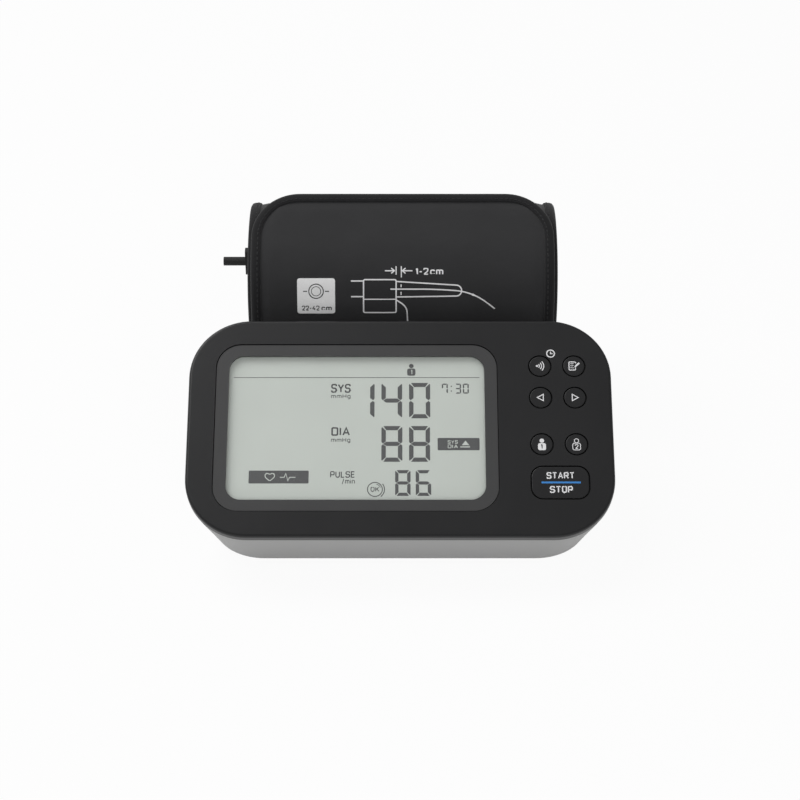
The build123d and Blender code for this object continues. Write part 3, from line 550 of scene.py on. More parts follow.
# %% Stroke letters
LETTERS = {
    "A": (4.4, [(0, 0), (2.2, 6), (4.4, 0)], [(0.8, 1.9), (3.6, 1.9)]),
    "D": (4.0, [(0, 0), (0, 6)], [(0, 6), (1.9, 6), (4, 6), (4, 0), (1.9, 0), (0, 0)]),
    "E": (3.6, [(3.6, 6), (0, 6), (0, 0), (3.6, 0)], [(0, 3), (3.2, 3)]),
    "H": (4.0, [(0, 0), (0, 6)], [(4, 0), (4, 6)], [(0, 3), (4, 3)]),
    "I": (0.0, [(0, 0), (0, 6)]),
    "K": (4.2, [(0, 0), (0, 6)], [(4, 6), (0.2, 2.6)], [(1.5, 3.7), (4.2, 0)]),
    "L": (3.4, [(0, 6), (0, 0), (3.4, 0)]),
    "O": (4.0, [(2, 6), (4, 6), (4, 0), (0, 0), (0, 6), (2, 6), (2.6, 6)]),
    "P": (4.0, [(0, 0), (0, 6)], [(0, 6), (2, 6), (4, 6), (4, 2.7), (2, 2.7), (0, 2.7)]),
    "R": (4.2, [(0, 0), (0, 6)], [(0, 6), (2, 6), (4, 6), (4, 2.9), (2, 2.9), (0, 2.9)],
          [(2.2, 2.9), (4.2, 0)]),
    "S": (4.0, [(4, 4.6), (4, 6), (0, 6), (0, 3.1), (4, 3.1), (4, 0), (0, 0), (0, 1.4)]),
    "T": (4.2, [(0, 6), (4.2, 6)], [(2.1, 6), (2.1, 0)]),
    "U": (4.0, [(0, 6), (0, 0), (4, 0), (4, 6)]),
    "Y": (4.4, [(0, 6), (2.2, 2.7), (4.4, 6)], [(2.2, 2.7), (2.2, 0)]),
    "c": (3.0, [(3, 3.2), (3, 4.3), (0, 4.3), (0, 0), (3, 0), (3, 1.1)]),
    "g": (3.2, [(3.2, 2), (3.2, 4.3), (0, 4.3), (0, 0), (3.2, 0), (3.2, 2)],
          [(3.2, 4.3), (3.2, -1.8), (0.3, -1.8)]),
    "i": (0.0, [(0, 0), (0, 4.3)], [(0, 5.5), (0, 6.1)]),
    "m": (5.2, [(0, 0), (0, 4.3)], [(0, 2.8), (0, 4.3), (2.6, 4.3), (2.6, 0)],
          [(2.6, 2.8), (2.6, 4.3), (5.2, 4.3), (5.2, 0)]),
    "n": (3.2, [(0, 0), (0, 4.3)], [(0, 2.8), (0, 4.3), (3.2, 4.3), (3.2, 0)]),
    "/": (2.2, [(0, -0.8), (2.2, 6.4)]),
    "-": (2.4, [(0, 2.6), (2.4, 2.6)]),
    "1": (1.6, [(0, 4.9), (1.6, 6), (1.6, 0)]),
    "2": (4.0, [(0, 4.5), (0, 6), (4, 6), (4, 3.4), (0, 0), (4.2, 0)]),
    "4": (4.4, [(2.8, 6), (0, 1.7), (4.4, 1.7)], [(3.3, 3.2), (3.3, 0)]),
}
GRID = 6
LETTER_GAP = 2.1
SHARP = "AEKYTLHI/-"
TIGHT = "24"
SOFT_CORNER, TIGHT_CORNER = 2.0, 1.2


def words(drawing, text, left, base, right, top, weight=1.15):
    """Letters fitted between two corners, with strokes this heavy in grid units."""
    half = weight / 2
    wide = sum(LETTERS[c][0] for c in text) + LETTER_GAP * (len(text) - 1) + weight
    tall = (top - base) / (GRID + weight)
    across = (right - left) / wide
    cursor = half
    for letter in text:
        size, *strokes = LETTERS[letter]
        for points in strokes:
            corner = TIGHT_CORNER if letter in TIGHT else SOFT_CORNER
            soft = points if letter in SHARP else rounded(points, corner)
            placed = [(left + (cursor + x) * across, base + (half + y) * tall) for x, y in soft]
            drawing.stroke(placed, weight * (across + tall) / 2)
        cursor += size + LETTER_GAP


print(len(LETTERS), "letters and figures")

# %% [markdown]
# The display shows a reading in seven-bar digits. Each bar is a flat shape with mitred ends and a
# hairline gap to its neighbours, lying on the glass just under the clear window.

# %% Seven-bar digits
BARS = {"0": "abcdef", "1": "bc", "3": "abgcd", "4": "fgbc", "6": "afgedc", "7": "fabc",
        "8": "abcdefg"}


def digit(drawing, figure, left, low, wide, tall, bar, gap):
    """One figure made of bars, in a box."""
    right, top, middle, half = left + wide, low + tall, low + tall / 2, bar / 2
    cut = gap * 0.7
    trim = bar * 0.35
    shapes = {
        "a": [(left + cut + trim, top), (right - cut - trim, top), (right - cut - bar, top - bar),
              (left + cut + bar, top - bar)],
        "d": [(left + cut + trim, low), (right - cut - trim, low), (right - cut - bar, low + bar),
              (left + cut + bar, low + bar)],
        "g": [(left + cut + half * 0.6, middle), (left + cut + bar, middle + half),
              (right - cut - bar, middle + half), (right - cut - half * 0.6, middle),
              (right - cut - bar, middle - half), (left + cut + bar, middle - half)],
    }
    for name, edge, inward in (("f", left, 1), ("b", right, -1)):
        shapes[name] = [(edge, top - cut - trim), (edge + inward * trim * 0.4, top - cut - trim * 0.4),
                        (edge + inward * bar, top - cut - bar), (edge + inward * bar, middle + cut + half),
                        (edge + inward * trim, middle + cut), (edge, middle + cut + trim)]
    for name, edge, inward in (("e", left, 1), ("c", right, -1)):
        shapes[name] = [(edge, low + cut + trim), (edge + inward * trim * 0.4, low + cut + trim * 0.4),
                        (edge + inward * bar, low + cut + bar), (edge + inward * bar, middle - cut - half),
                        (edge + inward * trim, middle - cut), (edge, middle - cut - trim)]
    for name in BARS[figure]:
        drawing.shape(shapes[name])


def box_loop(left, low, right, top, corner=0.5):
    return rounded([(left, low), (right, low), (right, top), (left, top)], corner, closed=True)


print("figures", " ".join(BARS))

# %% [markdown]
# The display reads a pressure, a pulse and a time, with their labels and a small sign of the user. The
# glass lies a few millimetres under the face, so the figures are laid on the face's plane and sunk.

# %% The reading
GLASS_DEPTH = 3.1
BAR, BAR_GAP = 2.0, 0.26
PULSE_BAR, PULSE_GAP = 1.5, 0.22
CLOCK_BAR, CLOCK_GAP = 0.62, 0.14
reading = Drawing()
reading.stroke([(-75.4, 25.0), (36.0, 25.0)], 0.28)
for figure, left, wide in (("1", -20.9, 9.36), ("4", -8.45, 9.36), ("0", 4.05, 9.54)):
    digit(reading, figure, left, 5.1, wide, 17.28, BAR, BAR_GAP)
for left in (-8.38, 4.01):
    digit(reading, "8", left, -15.8, 9.4, 17.13, BAR, BAR_GAP)
digit(reading, "8", -2.21, -31.96, 6.85, 12.18, PULSE_BAR, PULSE_GAP)
digit(reading, "6", 6.95, -31.96, 6.85, 12.18, PULSE_BAR, PULSE_GAP)
for figure, left in (("7", 18.9), ("3", 24.9), ("0", 28.4)):
    digit(reading, figure, left, 17.15, 2.7, 4.9, CLOCK_BAR, CLOCK_GAP)
for w in (18.4, 20.7):
    reading.shape(arc((23.2, w), 0.3, 0, 330, 11))
words(reading, "SYS", -31.2, 17.5, -22.4, 21.95, 1.25)
words(reading, "mmHg", -31.2, 14.9, -22.4, 16.9, 1.0)
words(reading, "DIA", -30.9, -3.35, -22.5, 0.8, 1.25)
words(reading, "mmHg", -31.0, -6.35, -22.3, -4.3, 1.0)
words(reading, "PULSE", -31.15, -23.4, -20.1, -20.3, 1.15)
words(reading, "/min", -25.9, -26.3, -20.1, -23.8, 1.0)
words(reading, "OK", -13.1, -30.0, -9.2, -27.75, 1.1)
reading.ring((-11.17, -28.9), 3.3, 0.42)
reading.stroke(arc((-11.17, -28.9), 4.25, -52, 38, 20), 0.42)
reading.stroke(arc((-11.17, -28.9), 2.55, 20, 75, 12), 0.3)


def person(drawing, x, w, size, hollow=False, width=0.4):
    """A head and shoulders, filled or in outline, for the two users' keys and the display."""
    head = arc((x, w + 0.81 * size), 0.18 * size, 0, 345, 23)
    side, shoulder = 0.32 * size, w + 0.60 * size
    body = rounded([(x - side, w), (x + side, w), (x + side, shoulder), (x - side, shoulder)],
                   0.17 * size, closed=True)
    for outline in (head, body):
        if hollow:
            drawing.stroke(outline, width, closed=True)
        else:
            drawing.shape(outline)


person(reading, 5.1, 25.95, 5.9)
reading.shape(box_loop(16.8, -10.3, 35.6, -4.4))
reading.shape(box_loop(-67.4, -26.1, -40.7, -20.0))
INK = 0.03
dress(reading.lay("display_reading", on_face, INK, -GLASS_DEPTH), display_ink, "unit")

# %% [markdown]
# Two dark bars of the display carry light marks. On the real glass the marks are gaps in the dark. Here
# they are a second print in the colour of the glass, a little thicker, because holes in a filled shape
# could leave slivers.

# %% Light marks in the two dark bars
OVER_INK = 0.045
badges = Drawing()
words(badges, "SYS", 21.3, -7.2, 25.9, -5.5, 1.1)
words(badges, "DIA", 21.3, -9.3, 25.9, -7.6, 1.1)
badges.shape([(27.6, -7.9), (31.0, -7.9), (29.3, -5.7)])
badges.stroke([(26.9, -8.7), (31.3, -8.7)], 0.5)
heart = [(-58.0, -25.0), (-60.1, -23.1), (-60.1, -21.7), (-59.0, -21.2), (-58.0, -21.9),
         (-57.0, -21.2), (-55.9, -21.7), (-55.9, -23.1)]
badges.stroke(rounded(heart, 0.8, closed=True, steps=3), 0.4, closed=True)
beat = [(-53.5, -23.2), (-51.6, -23.2), (-50.9, -21.4), (-49.9, -24.8), (-49.2, -23.2),
        (-46.6, -23.2)]
badges.stroke(beat, 0.38)
words(badges, "1", 4.9, 26.5, 5.5, 29.0, 1.0)
dress(badges.lay("display_marks", on_face, OVER_INK, -GLASS_DEPTH), display, "unit")

# %% [markdown]
# Each key's sign rides on its key, so it goes down with it. A key stands a little proud of the face, so
# its sign is lifted by as much. The six round keys say connect, memory, back, forward and the two users.

# %% Signs on the round keys
KEY_X = (63.28, 78.73)
KEY_W = (29.35, 13.9, -8.6)
KEY_PROUD = 0.15
STROKE = 0.42


def sign(key, drawing, finish=white_ink):
    name = key + "_sign" + finish.material.name[:5].strip("_")
    dress(drawing.lay(name, on_face, INK, KEY_PROUD), finish, key)


radio = Drawing()
x, w = KEY_X[0], KEY_W[0]
radio.shape(arc((x - 1.3, w), 0.5, 0, 340, 17))
for radius in (1.3, 2.3, 3.3):
    radio.stroke(arc((x - 1.5, w), radius, -42, 42, 12), STROKE)
sign("key_connect", radio)

memo = Drawing()
x, w = KEY_X[1], KEY_W[0]
memo.stroke(rounded([(x + 0.7, w - 0.7), (x + 0.7, w - 2.0), (x - 2.2, w - 2.0), (x - 2.2, w + 2.0),
                     (x + 0.7, w + 2.0), (x + 0.9, w + 1.3)], 0.5), STROKE)
for rise in (-0.9, 0.1, 1.1):
    memo.stroke([(x - 1.6, w + rise), (x - 0.1, w + rise)], 0.3)
pen = [(0.2, -0.6), (0.4, 0.1), (2.2, 1.8), (2.7, 1.2), (0.9, -0.5)]
memo.shape([(x + across, w + up) for across, up in pen])
sign("key_memory", memo)

for key, x, way in (("key_back", KEY_X[0], -1), ("key_forward", KEY_X[1], 1)):
    arrow = Drawing()
    w = KEY_W[1]
    corners = [(x - 1.2 * way, w - 1.55), (x - 1.2 * way, w + 1.55), (x + 1.5 * way, w)]
    arrow.stroke(corners, STROKE, closed=True)
    sign(key, arrow)

user_one, user_two = Drawing(), Drawing()
person(user_one, KEY_X[0], KEY_W[2] - 2.9, 5.6)
person(user_two, KEY_X[1], KEY_W[2] - 2.8, 5.4, hollow=True, width=0.32)
words(user_two, "2", KEY_X[1] - 0.75, KEY_W[2] - 2.3, KEY_X[1] + 0.75, KEY_W[2] - 0.1, 1.1)
sign("key_user_1", user_one)
sign("key_user_2", user_two)
number = Drawing()
words(number, "1", KEY_X[0] - 0.55, KEY_W[2] - 2.3, KEY_X[0] + 0.25, KEY_W[2] + 0.1, 1.2)
piece = number.lay("key_user_1_number", on_face, OVER_INK, KEY_PROUD)
dress(piece, key_black, "key_user_1")

# %% [markdown]
# The wide key carries two words with a blue line between them. The small clock belongs to the key under
# it, but it is printed on the cover, so it rides on the unit and stays when the key goes down.

# %% Wide key and clock
start_stop, stripe = Drawing(), Drawing()
words(start_stop, "START", 64.95, -25.1, 77.35, -21.95, 1.25)
words(start_stop, "STOP", 66.25, -31.75, 76.4, -28.5, 1.25)
stripe.stroke([(62.6, -26.8), (80.0, -26.8)], 0.85)
sign("key_start_stop", start_stop)
sign("key_start_stop", stripe, blue_ink)

clock = Drawing()
clock.ring((68.35, 35.55), 1.75, 0.5)
clock.stroke([(68.35, 36.5), (68.35, 35.5), (69.28, 35.5)], STROKE)
dress(clock.lay("clock_sign", on_face, INK), white_ink, "unit")

# %% [markdown]
# The cuff is a long padded band, rolled up in nearly two turns. Its path is a run of straight pieces and
# arcs, as in the solids: the flap's straight end, over the front, under, up the back, over the top, and
# round again.
# A point of the band is then (x across, s along from the flap's tip, depth in from the outside).

# %% The roll's path
ROLL_RADIUS = 39.3
ROLL_PITCH = 5.6
ROLL_HEIGHT = 105.5
FLAP_LEAN = 33.0
FLAP_LENGTH = 24.7
FLAP_HALF = 71.3
BAND_HALF = 73.1
TIP_CORNER = 22.8
THICKNESS = 5.1
INNER_TURN = 20.0
fabric_low, fabric_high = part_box("cuff_outer_fabric")
CUFF_X = (fabric_low.x + fabric_high.x) / 2 / MM
BOTTOM = Vector((fabric_low.y / MM + ROLL_RADIUS, fabric_low.z / MM + ROLL_RADIUS))
TOP = Vector((BOTTOM.x + ROLL_PITCH / 2, ROLL_HEIGHT - ROLL_RADIUS + ROLL_PITCH / 2))
RISE = TOP.y - BOTTOM.y


def roll_path():
    """Straight pieces (start, angle, length) and arcs (centre, radius, angles), from the tip."""
    first = 90 + FLAP_LEAN
    radii = [ROLL_RADIUS + (0.5 - 0.5 * half) * ROLL_PITCH for half in range(5)]
    turns = [(TOP, radii[0], first, 180), (BOTTOM, radii[1], 180, 360), (TOP, radii[2], 360, 540),
             (BOTTOM, radii[3], 540, 720), (TOP, radii[4], 720, 720 + INNER_TURN)]
    lengths = [FLAP_LENGTH, RISE, RISE, RISE, RISE]
    parts = []
    for (centre, radius, start, end), length in zip(turns, lengths):
        begin = centre + radius * Vector((math.cos(math.radians(start)), math.sin(math.radians(start))))
        tangent = Vector((-math.sin(math.radians(start)), math.cos(math.radians(start))))
        parts.append(("line", begin - tangent * length, start, length))
        parts.append(("arc", centre, radius, start, math.radians(end - start) * radius))
    return parts


PATH = roll_path()
ROLL_LENGTH = sum(part[-1] for part in PATH)


def roll_point(x, s, depth=0.0):
    """A point of the rolled band, in metres."""
    s = min(max(s, 0.0), ROLL_LENGTH)
    for part in PATH:
        if s <= part[-1] or part is PATH[-1]:
            break
        s -= part[-1]
    if part[0] == "line":
        angle = math.radians(part[2])
        spot = part[1] + Vector((-math.sin(angle), math.cos(angle))) * s
    else:
        angle = math.radians(part[3]) + s / part[2]
        spot = part[1] + Vector((math.cos(angle), math.sin(angle))) * part[2]
    spot -= Vector((math.cos(angle), math.sin(angle))) * depth
    return Vector((CUFF_X + x, spot.x, spot.y)) * MM


print("band", round(ROLL_LENGTH, 1), "mm long")


# %% [markdown]
# Flat, the band is a rectangle with two round corners at the flap's tip. It is a little narrower at
# the flap. A sheet of fabric is a grid over that outline: each row runs from edge to edge.

# %% The band's flat outline
def half_width(s, inset=0.0):
    """Half of the band's width at s, drawn in by inset; it narrows round the tip's corners."""
    taper_start, taper_end = FLAP_LENGTH + PATH[1][-1], FLAP_LENGTH + PATH[1][-1] + RISE
    share = min(max((s - taper_start) / (taper_end - taper_start), 0.0), 1.0)
    half = FLAP_HALF + (BAND_HALF - FLAP_HALF) * share
    if s < TIP_CORNER:
        drop = (TIP_CORNER - inset) ** 2 - (TIP_CORNER - s) ** 2
        return FLAP_HALF - TIP_CORNER + math.sqrt(max(drop, 0.0))
    return half - inset


def ripple(x, s, seed, size):
    """Soft unevenness, from -1 to 1, of about this size in millimetres."""
    return noise.noise(Vector((x / size, s / size, seed)))


print("half of the band at the flap", half_width(FLAP_LENGTH), "and further on", half_width(ROLL_LENGTH))

# %% [markdown]
# The panel between the seams is padded, so it stands out, and at the seam the thread pulls it in. A cloth
# simulation could puff it by pressure, but none is run here. A formula moves the points instead: it gives
# a low, even crown with small folds, and it comes out the same on every run.

# %% Padded skins
SEAM = 4.6
HEM_DEPTH = 0.44
HEM_RUN = 5.0
FOLD, FOLD_SIZE = 0.28, 16
CREASE, CREASE_SIZE = 0.16, 6
SHEET_INSET = 0.8
CROWN = 0.35
SHELL_SEED, LINING_SEED = 1.0, 5.0


def swell(x, s, crown, seed):
    """How far the fabric stands out from the flat: nothing at the seam, the crown inside it."""
    edge = min(half_width(s) - abs(x), s, ROLL_LENGTH - s)
    rise = min(max((edge - SEAM) / HEM_RUN, 0.0), 1.0)
    rise = rise * rise * (3 - 2 * rise)
    folds = FOLD * ripple(x, s, seed, FOLD_SIZE) + CREASE * ripple(x, s, seed + 7, CREASE_SIZE)
    return rise * (crown + folds) - HEM_DEPTH * (1 - rise)


def make_sheet(name, top_depth, low_depth, crown, seed, along=2.4, across=58):
    """A closed slab of soft fabric between two depths, its outer side swollen by crown."""
    mesh = bmesh.new()
    inset = SHEET_INSET
    outward = 1 if top_depth < low_depth else -1
    rows = round((ROLL_LENGTH - 2 * inset) / along)
    grid = []
    for row in range(rows + 1):
        s = inset + (ROLL_LENGTH - 2 * inset) * row / rows
        half = half_width(s, inset)
        line = []
        for column in range(across + 1):
            x = half * (2 * column / across - 1)
            lift = swell(x, s, crown, seed)
            line.append((mesh.verts.new(roll_point(x, s, top_depth - outward * lift)),
                         mesh.verts.new(roll_point(x, s, low_depth))))
        grid.append(line)
    for a, b in zip(grid, grid[1:]):
        for i in range(across):
            mesh.faces.new([a[i][0], a[i + 1][0], b[i + 1][0], b[i][0]])
            mesh.faces.new([a[i][1], b[i][1], b[i + 1][1], a[i + 1][1]])
        for i in (0, across):
            mesh.faces.new([a[i][0], b[i][0], b[i][1], a[i][1]])
    for line in (grid[0], grid[-1]):
        for i in range(across):
            mesh.faces.new([line[i][0], line[i][1], line[i + 1][1], line[i + 1][0]])
    return smooth_object(mesh, name)


print("crown stands out", round(swell(0, FLAP_LENGTH, CROWN, SHELL_SEED), 2), "mm at the flap's bend")

# %% [markdown]
# Fabrics. The shell is a tight plain weave of two to three threads to a millimetre, with a slight
# sheen. The lining is brushed loop, furry and matt. The tape that binds the edge is a coarser weave.
# The weave is worked out from object coordinates as waves, so it has its true size.


# %% Fabric finishes
def woven(name, low, high, thread, relief, sheen, roughness=0.85):
    """A plain weave: two crossed sets of threads, x one way and the roll's path the other."""
    finish = Finish(name, sheen_weight=sheen, specular=0.3)
    where = finish.node("ShaderNodeTexCoord", output="Object")
    split = finish.node("ShaderNodeSeparateXYZ", {}, {0: where})
    parts = [Level(finish, split.socket.node.outputs[i]) for i in range(3)]
    pitch = 2 * math.pi / (thread * MM)
    waver = finish.grain(9.0, 2.0)
    warp = (parts[0] * pitch + 2.0 * waver).wave()
    weft = ((parts[1] + parts[2]) * pitch + 2.0 * waver).wave()
    weave = warp * (1 - weft) + weft * (1 - warp)
    tone = finish.grain(26.0, 4.0, 0.6)
    fuzz = finish.grain(0.5, 3.0)
    share = (0.45 * tone + 0.35 * weave + 0.2 * fuzz).limited()
    return finish.set(base_color=finish.mixed(share, low, high), roughness=roughness,
                      normal=finish.bump(0.7 * weave + 0.3 * fuzz, relief))


shell_fabric = woven("shell_fabric", (0.019, 0.019, 0.020), (0.037, 0.037, 0.039), 0.42, 0.05, 0.25)
tape_fabric = woven("tape_fabric", (0.007, 0.007, 0.008), (0.016, 0.016, 0.017), 0.7, 0.09, 0.15)
thread_black = woven("thread", (0.010, 0.010, 0.011), (0.026, 0.026, 0.028), 0.3, 0.03, 0.2)
loop_fabric = Finish("loop_fabric", roughness=0.95, sheen_weight=0.5, specular=0.2)
pile = loop_fabric.grain(0.7, 4.0, 0.65)
tuft = loop_fabric.grain(3.5, 3.0)
loop_fabric.set(base_color=loop_fabric.mixed((0.6 * pile + 0.4 * tuft).limited(), (0.006, 0.006, 0.007),
                                             (0.028, 0.029, 0.031)),
                normal=loop_fabric.bump(0.8 * pile + 0.2 * tuft, 0.35))
print("four fabrics")

# %% [markdown]
# The two skins of the band are separate pieces that meet at its middle. The outer one is the padded
# shell, and the inner one is the loop lining. Each is a closed slab, so its edge has a true thickness.

# %% Shell and lining
MIDDLE = THICKNESS / 2
SKIN = 0.45
shell = make_sheet("cuff_shell", SKIN, MIDDLE, CROWN, SHELL_SEED)
dress(shell, shell_fabric, "cuff")
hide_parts("cuff_outer_fabric", "cuff_padding", "cuff_core", "cuff_bladder")
lining = make_sheet("cuff_loop_lining", THICKNESS - SKIN, MIDDLE, CROWN, LINING_SEED)
dress(lining, loop_fabric, "cuff")
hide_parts("cuff_lining")


# %% [markdown]
# The binding is a folded tape that goes right round the band. Its section is a flat hook shape, swept
# along the band's outline. The outline is followed as points with an inward direction, all in the flat.

# %% The band's edge, as a closed walk
CORNER_STEPS = 20


def edge_walk(step=2.0):
    """Points (x, s) round the band's edge with the inward direction at each."""
    walk = []
    corner_x = FLAP_HALF - TIP_CORNER

    def corner(side, first):
        for k in range(1, CORNER_STEPS):
            turn = math.radians(first + 90 * k / CORNER_STEPS)
            out = Vector((math.cos(turn), math.sin(turn)))
            walk.append((Vector((side * corner_x, TIP_CORNER)) + out * TIP_CORNER, -out))

    count = round(ROLL_LENGTH / step)
    long_side = [TIP_CORNER + (ROLL_LENGTH - TIP_CORNER) * k / count for k in range(count + 1)]
    for s in reversed(long_side):
        walk.append((Vector((-half_width(s), s)), Vector((1, 0))))
    corner(-1, 180)
    count = round(2 * corner_x / step)
    for k in range(count + 1):
        walk.append((Vector((-corner_x + 2 * corner_x * k / count, 0)), Vector((0, 1))))
    corner(1, 270)
    for s in long_side:
        walk.append((Vector((half_width(s), s)), Vector((-1, 0))))
    across = round(2 * BAND_HALF / step)
    for k in range(1, across):
        walk.append((Vector((BAND_HALF - 2 * BAND_HALF * k / across, ROLL_LENGTH)), Vector((0, -1))))
    return walk


print("edge of", len(edge_walk()), "points")

# %% [markdown]
# The tape is swept: its section is placed at each point of the walk, and the rings are joined.
# A bevelled curve can twist where the band turns. Points laid by the roll's own function keep the section
# in line with the band.

# %% The binding tape
TAPE_WIDTH = 4.8
TAPE_SECTION = [(TAPE_WIDTH, 0.55), (TAPE_WIDTH - 0.15, 0.22), (TAPE_WIDTH - 0.7, 0.06), (3.2, -0.05),
                (1.9, 0.02), (0.8, 0.35), (0.15, 1.2), (0.0, MIDDLE), (0.15, THICKNESS - 1.2),
                (0.8, THICKNESS - 0.35), (1.9, THICKNESS - 0.02), (3.2, THICKNESS + 0.05),
                (TAPE_WIDTH - 0.7, THICKNESS - 0.06), (TAPE_WIDTH - 0.15, THICKNESS - 0.22),
                (TAPE_WIDTH, THICKNESS - 0.55), (TAPE_WIDTH - 0.3, THICKNESS - 0.9), (1.4, THICKNESS - 0.9),
                (1.4, 0.9), (TAPE_WIDTH - 0.3, 0.9)]


def make_binding():
    mesh = bmesh.new()
    rings = []
    for spot, inward in edge_walk():
        wave = 0.12 * ripple(spot.x, spot.y, 3.0, 9)
        ring = []
        for inset, depth in TAPE_SECTION:
            flat = spot + inward * (inset + (wave if inset > 3 else 0))
            ring.append(mesh.verts.new(roll_point(flat.x, flat.y, depth + wave * 0.4)))
        rings.append(ring)
    count = len(TAPE_SECTION)
    for a, b in zip(rings, rings[1:] + rings[:1]):
        for i in range(count):
            j = (i + 1) % count
            mesh.faces.new([a[i], a[j], b[j], b[i]])
    return smooth_object(mesh, "cuff_tape")


tape = make_binding()
dress(tape, tape_fabric, "cuff")
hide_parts("cuff_binding")

# %% [markdown]
# Two lines of stitching hold the tape. Each stitch is a short, slightly sunk bead of thread.

# %% Stitches
STITCH_PITCH = 2.5
STITCH_LENGTH = 1.7
STITCH_RADIUS = 0.17
STITCH_INSET = 3.35
STITCH_PROUD = 0.06
THREAD_FLAT = 1.3
THREAD_SIDES = 6
BEAD = ((-0.5, 0.35), (-0.3, 1.0), (0.3, 1.0), (0.5, 0.35))


def make_bead(mesh, centre, inward, way, depth, side):
    """One stitch: a few rings along it, thin at both ends."""
    bead = []
    for t, share in BEAD:
        middle = centre + inward * STITCH_INSET + way * t * STITCH_LENGTH
        ring = []
        for k in range(THREAD_SIDES):
            turn = 2 * math.pi * k / THREAD_SIDES
            off = STITCH_RADIUS * share
            flat = middle + inward * off * math.cos(turn) * THREAD_FLAT
            ring.append(mesh.verts.new(roll_point(flat.x, flat.y, depth - side * off * math.sin(turn))))
        bead.append(ring)
    skin_rings(mesh, bead)


def skin_rings(mesh, rings):
    """Joins rings of points by faces, and closes both ends."""
    count = len(rings[0])
    for a, b in zip(rings, rings[1:]):
        for k in range(count):
            mesh.faces.new([a[k], a[(k + 1) % count], b[(k + 1) % count], b[k]])
    mesh.faces.new(rings[0])
    mesh.faces.new(rings[-1])


def make_stitches():
    mesh = bmesh.new()
    walk = edge_walk()
    travelled, due = 0.0, 0.0
    for (spot, inward), (after, _) in zip(walk, walk[1:]):
        step = (after - spot).length
        while step > 0 and due < travelled + step:
            centre = spot + (after - spot) * ((due - travelled) / step)
            way = (after - spot).normalized()
            for depth, side in ((-STITCH_PROUD, 1), (THICKNESS + STITCH_PROUD, -1)):
                make_bead(mesh, centre, inward, way, depth, side)
            due += STITCH_PITCH
        travelled += step
    return smooth_object(mesh, "cuff_stitches")


stitches = make_stitches()
dress(stitches, thread_black, "cuff")

# %% [markdown]
# Hook tape under the flap's end. Its hooks are small mushrooms on a thin backing, in staggered rows.

# %% Hook tape
HOOK_WIDTH, HOOK_LENGTH, HOOK_START = 96.0, 10.0, 6.0
HOOK_ROWS, HOOKS_IN_ROW = 6, 58
HOOK_PITCH, ROW_PITCH = 1.62, 1.6
HOOK_EDGE, ROW_EDGE = 1.7, 0.9
HOOK_PROFILE = ((0.3, 0.16), (0.55, 0.16), (0.62, 0.34), (0.78, 0.2))
HOOK_SIDES = 6


def under_flap(x, s, lift):
    return roll_point(x, s, THICKNESS + lift)


def make_hook_tape():
    drawing = Drawing()
    half = HOOK_WIDTH / 2
    drawing.shape(box_loop(-half, HOOK_START, half, HOOK_START + HOOK_LENGTH, 1.5))
    piece = drawing.lay("cuff_hooks", under_flap, 0.35, 0.0, longest=6.0)
    mesh = bmesh.new()
    mesh.from_mesh(piece.data)
    turns = [k * math.pi / 3 for k in range(HOOK_SIDES)]
    for row in range(HOOK_ROWS):
        for column in range(HOOKS_IN_ROW):
            x = -half + HOOK_EDGE + (column + 0.5 * (row % 2)) * HOOK_PITCH
            s = HOOK_START + ROW_EDGE + row * ROW_PITCH
            rings = []
            for lift, radius in HOOK_PROFILE:
                rings.append([mesh.verts.new(under_flap(x + radius * math.cos(turn),
                                                        s + radius * math.sin(turn), lift))
                              for turn in turns])
            skin_rings(mesh, rings)
    bmesh.ops.recalc_face_normals(mesh, faces=mesh.faces)
    mesh.to_mesh(piece.data)
    mesh.free()
    return piece


hooks = make_hook_tape()
dress(hooks, soft_black, "cuff")
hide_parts("cuff_hook_tape")

# %% [markdown]
# The flap carries a guide in white line. It is plain: a band round a tube, its hose, and two arrows
# with the distance between them. It is printed on the swollen shell, so it is laid by the same function.


# %% Guide on the flap
def on_flap(x, y, lift):
    """A point on the swollen shell. Going down the flap from its tip, y falls from 0."""
    s = -y
    return roll_point(x, s, SKIN - swell(x, s, CROWN, SHELL_SEED) - lift)


LINE = 0.62
PRINT_CUT = 2.5
BAND_LEFT, BAND_RIGHT = -18.3, -3.06
guide = Drawing()
for s in (44.84, 52.22):
    guide.stroke([(-24.2, -s), (BAND_LEFT, -s)], LINE)
band = [(BAND_LEFT, -44.2), (BAND_RIGHT, -44.2), (BAND_RIGHT, -60.05), (BAND_LEFT, -60.05)]
guide.stroke(rounded(band, 0.8, closed=True), LINE, closed=True)
guide.stroke([(BAND_LEFT, -53.5), (BAND_RIGHT, -53.5)], 0.5)
guide.stroke([(BAND_RIGHT, -45.05), (25.0, -46.78)], LINE)
guide.stroke([(BAND_RIGHT, -52.4), (25.0, -51.94)], LINE)
guide.stroke(arc((25.0, -49.36), 2.58, -90, 90, 14), LINE)
for first, last in ((46.4, 47.75), (49.92, 51.45)):
    guide.stroke([(-0.75, -first), (-0.75, -last)], 0.5)
hose = [(-5.74, -48.67), (14.85, -48.67), (28.81, -49.64), (36.36, -52.66), (43.16, -58.12)]
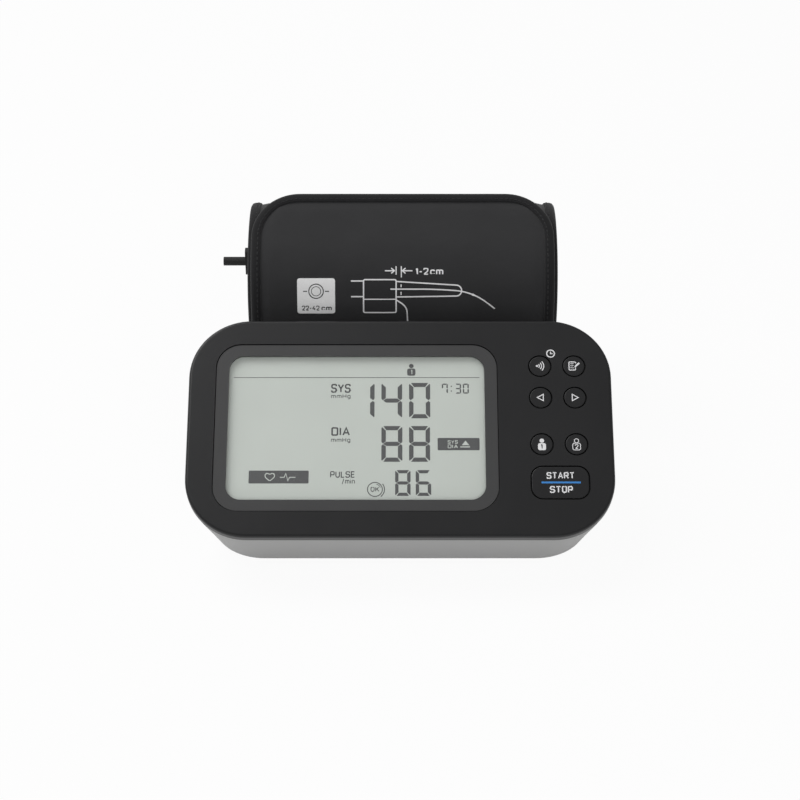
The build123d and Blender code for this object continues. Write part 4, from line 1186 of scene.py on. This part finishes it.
guide.stroke(rounded(hose, 6.0), LINE)
guide.stroke(rounded([(BAND_RIGHT, -53.76), (1.98, -57.15), (2.32, -64.6)], 3.0), LINE)
for bar, tip, end, low in ((-3.06, -3.86, -8.31, 41.94), (-0.64, -0.17, 4.55, 43.18)):
    way = 1 if end > tip else -1
    guide.stroke([(bar, -37.96), (bar, -low)], 0.5)
    guide.stroke([(tip, -40.06), (end, -40.06)], 0.55)
    guide.stroke([(tip + way * 1.5, -38.8), (tip, -40.06), (tip + way * 1.5, -41.3)], 0.55)
words(guide, "1-2", 5.89, -41.94, 12.05, -38.71, 1.25)
words(guide, "cm", 12.8, -41.94, 19.02, -38.71, 1.25)
piece = guide.lay("cuff_guide_print", on_flap, 0.05, 0.0, longest=PRINT_CUT)
dress(piece, white_ink, "cuff")

# %% [markdown]
# The patch is a printed square in pale paint with a size range in dark ink. It is thicker than the line
# print, so the ink on it starts from its top.

# %% The patch
PATCH_THICK = 0.12
patch_paint = ink("patch_paint", (0.95, 0.95, 0.95), 0.4)
patch = Drawing()
patch.shape(box_loop(-49.34, -60.52, -31.62, -43.55, 1.4))
piece = patch.lay("cuff_patch", on_flap, PATCH_THICK, 0.0, longest=PRINT_CUT)
dress(piece, patch_paint, "cuff")
patch_lines = Drawing()
patch_lines.ring((-40.5, -49.7), 3.4, 0.45)
patch_lines.ring((-40.5, -49.7), 2.2, 0.3)
for left in (-46.6, -36.3):
    patch_lines.stroke([(left, -49.7), (left + 1.9, -49.7)], 0.45)
words(patch_lines, "22-42", -47.2, -59.0, -39.0, -56.6, 1.25)
words(patch_lines, "cm", -38.1, -59.0, -33.2, -56.6, 1.25)
piece = patch_lines.lay("cuff_patch_print", on_flap, 0.04, PATCH_THICK, longest=PRINT_CUT)
dress(piece, display_ink, "cuff")

# %% [markdown]
# The box of every shown piece, the floor aside, is printed in millimetres. The dressed part has to
# stay within the solids' box, apart from a little that fabric may stand proud.

low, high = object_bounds()
print("visual box", [round(v / MM, 1) for v in high - low])
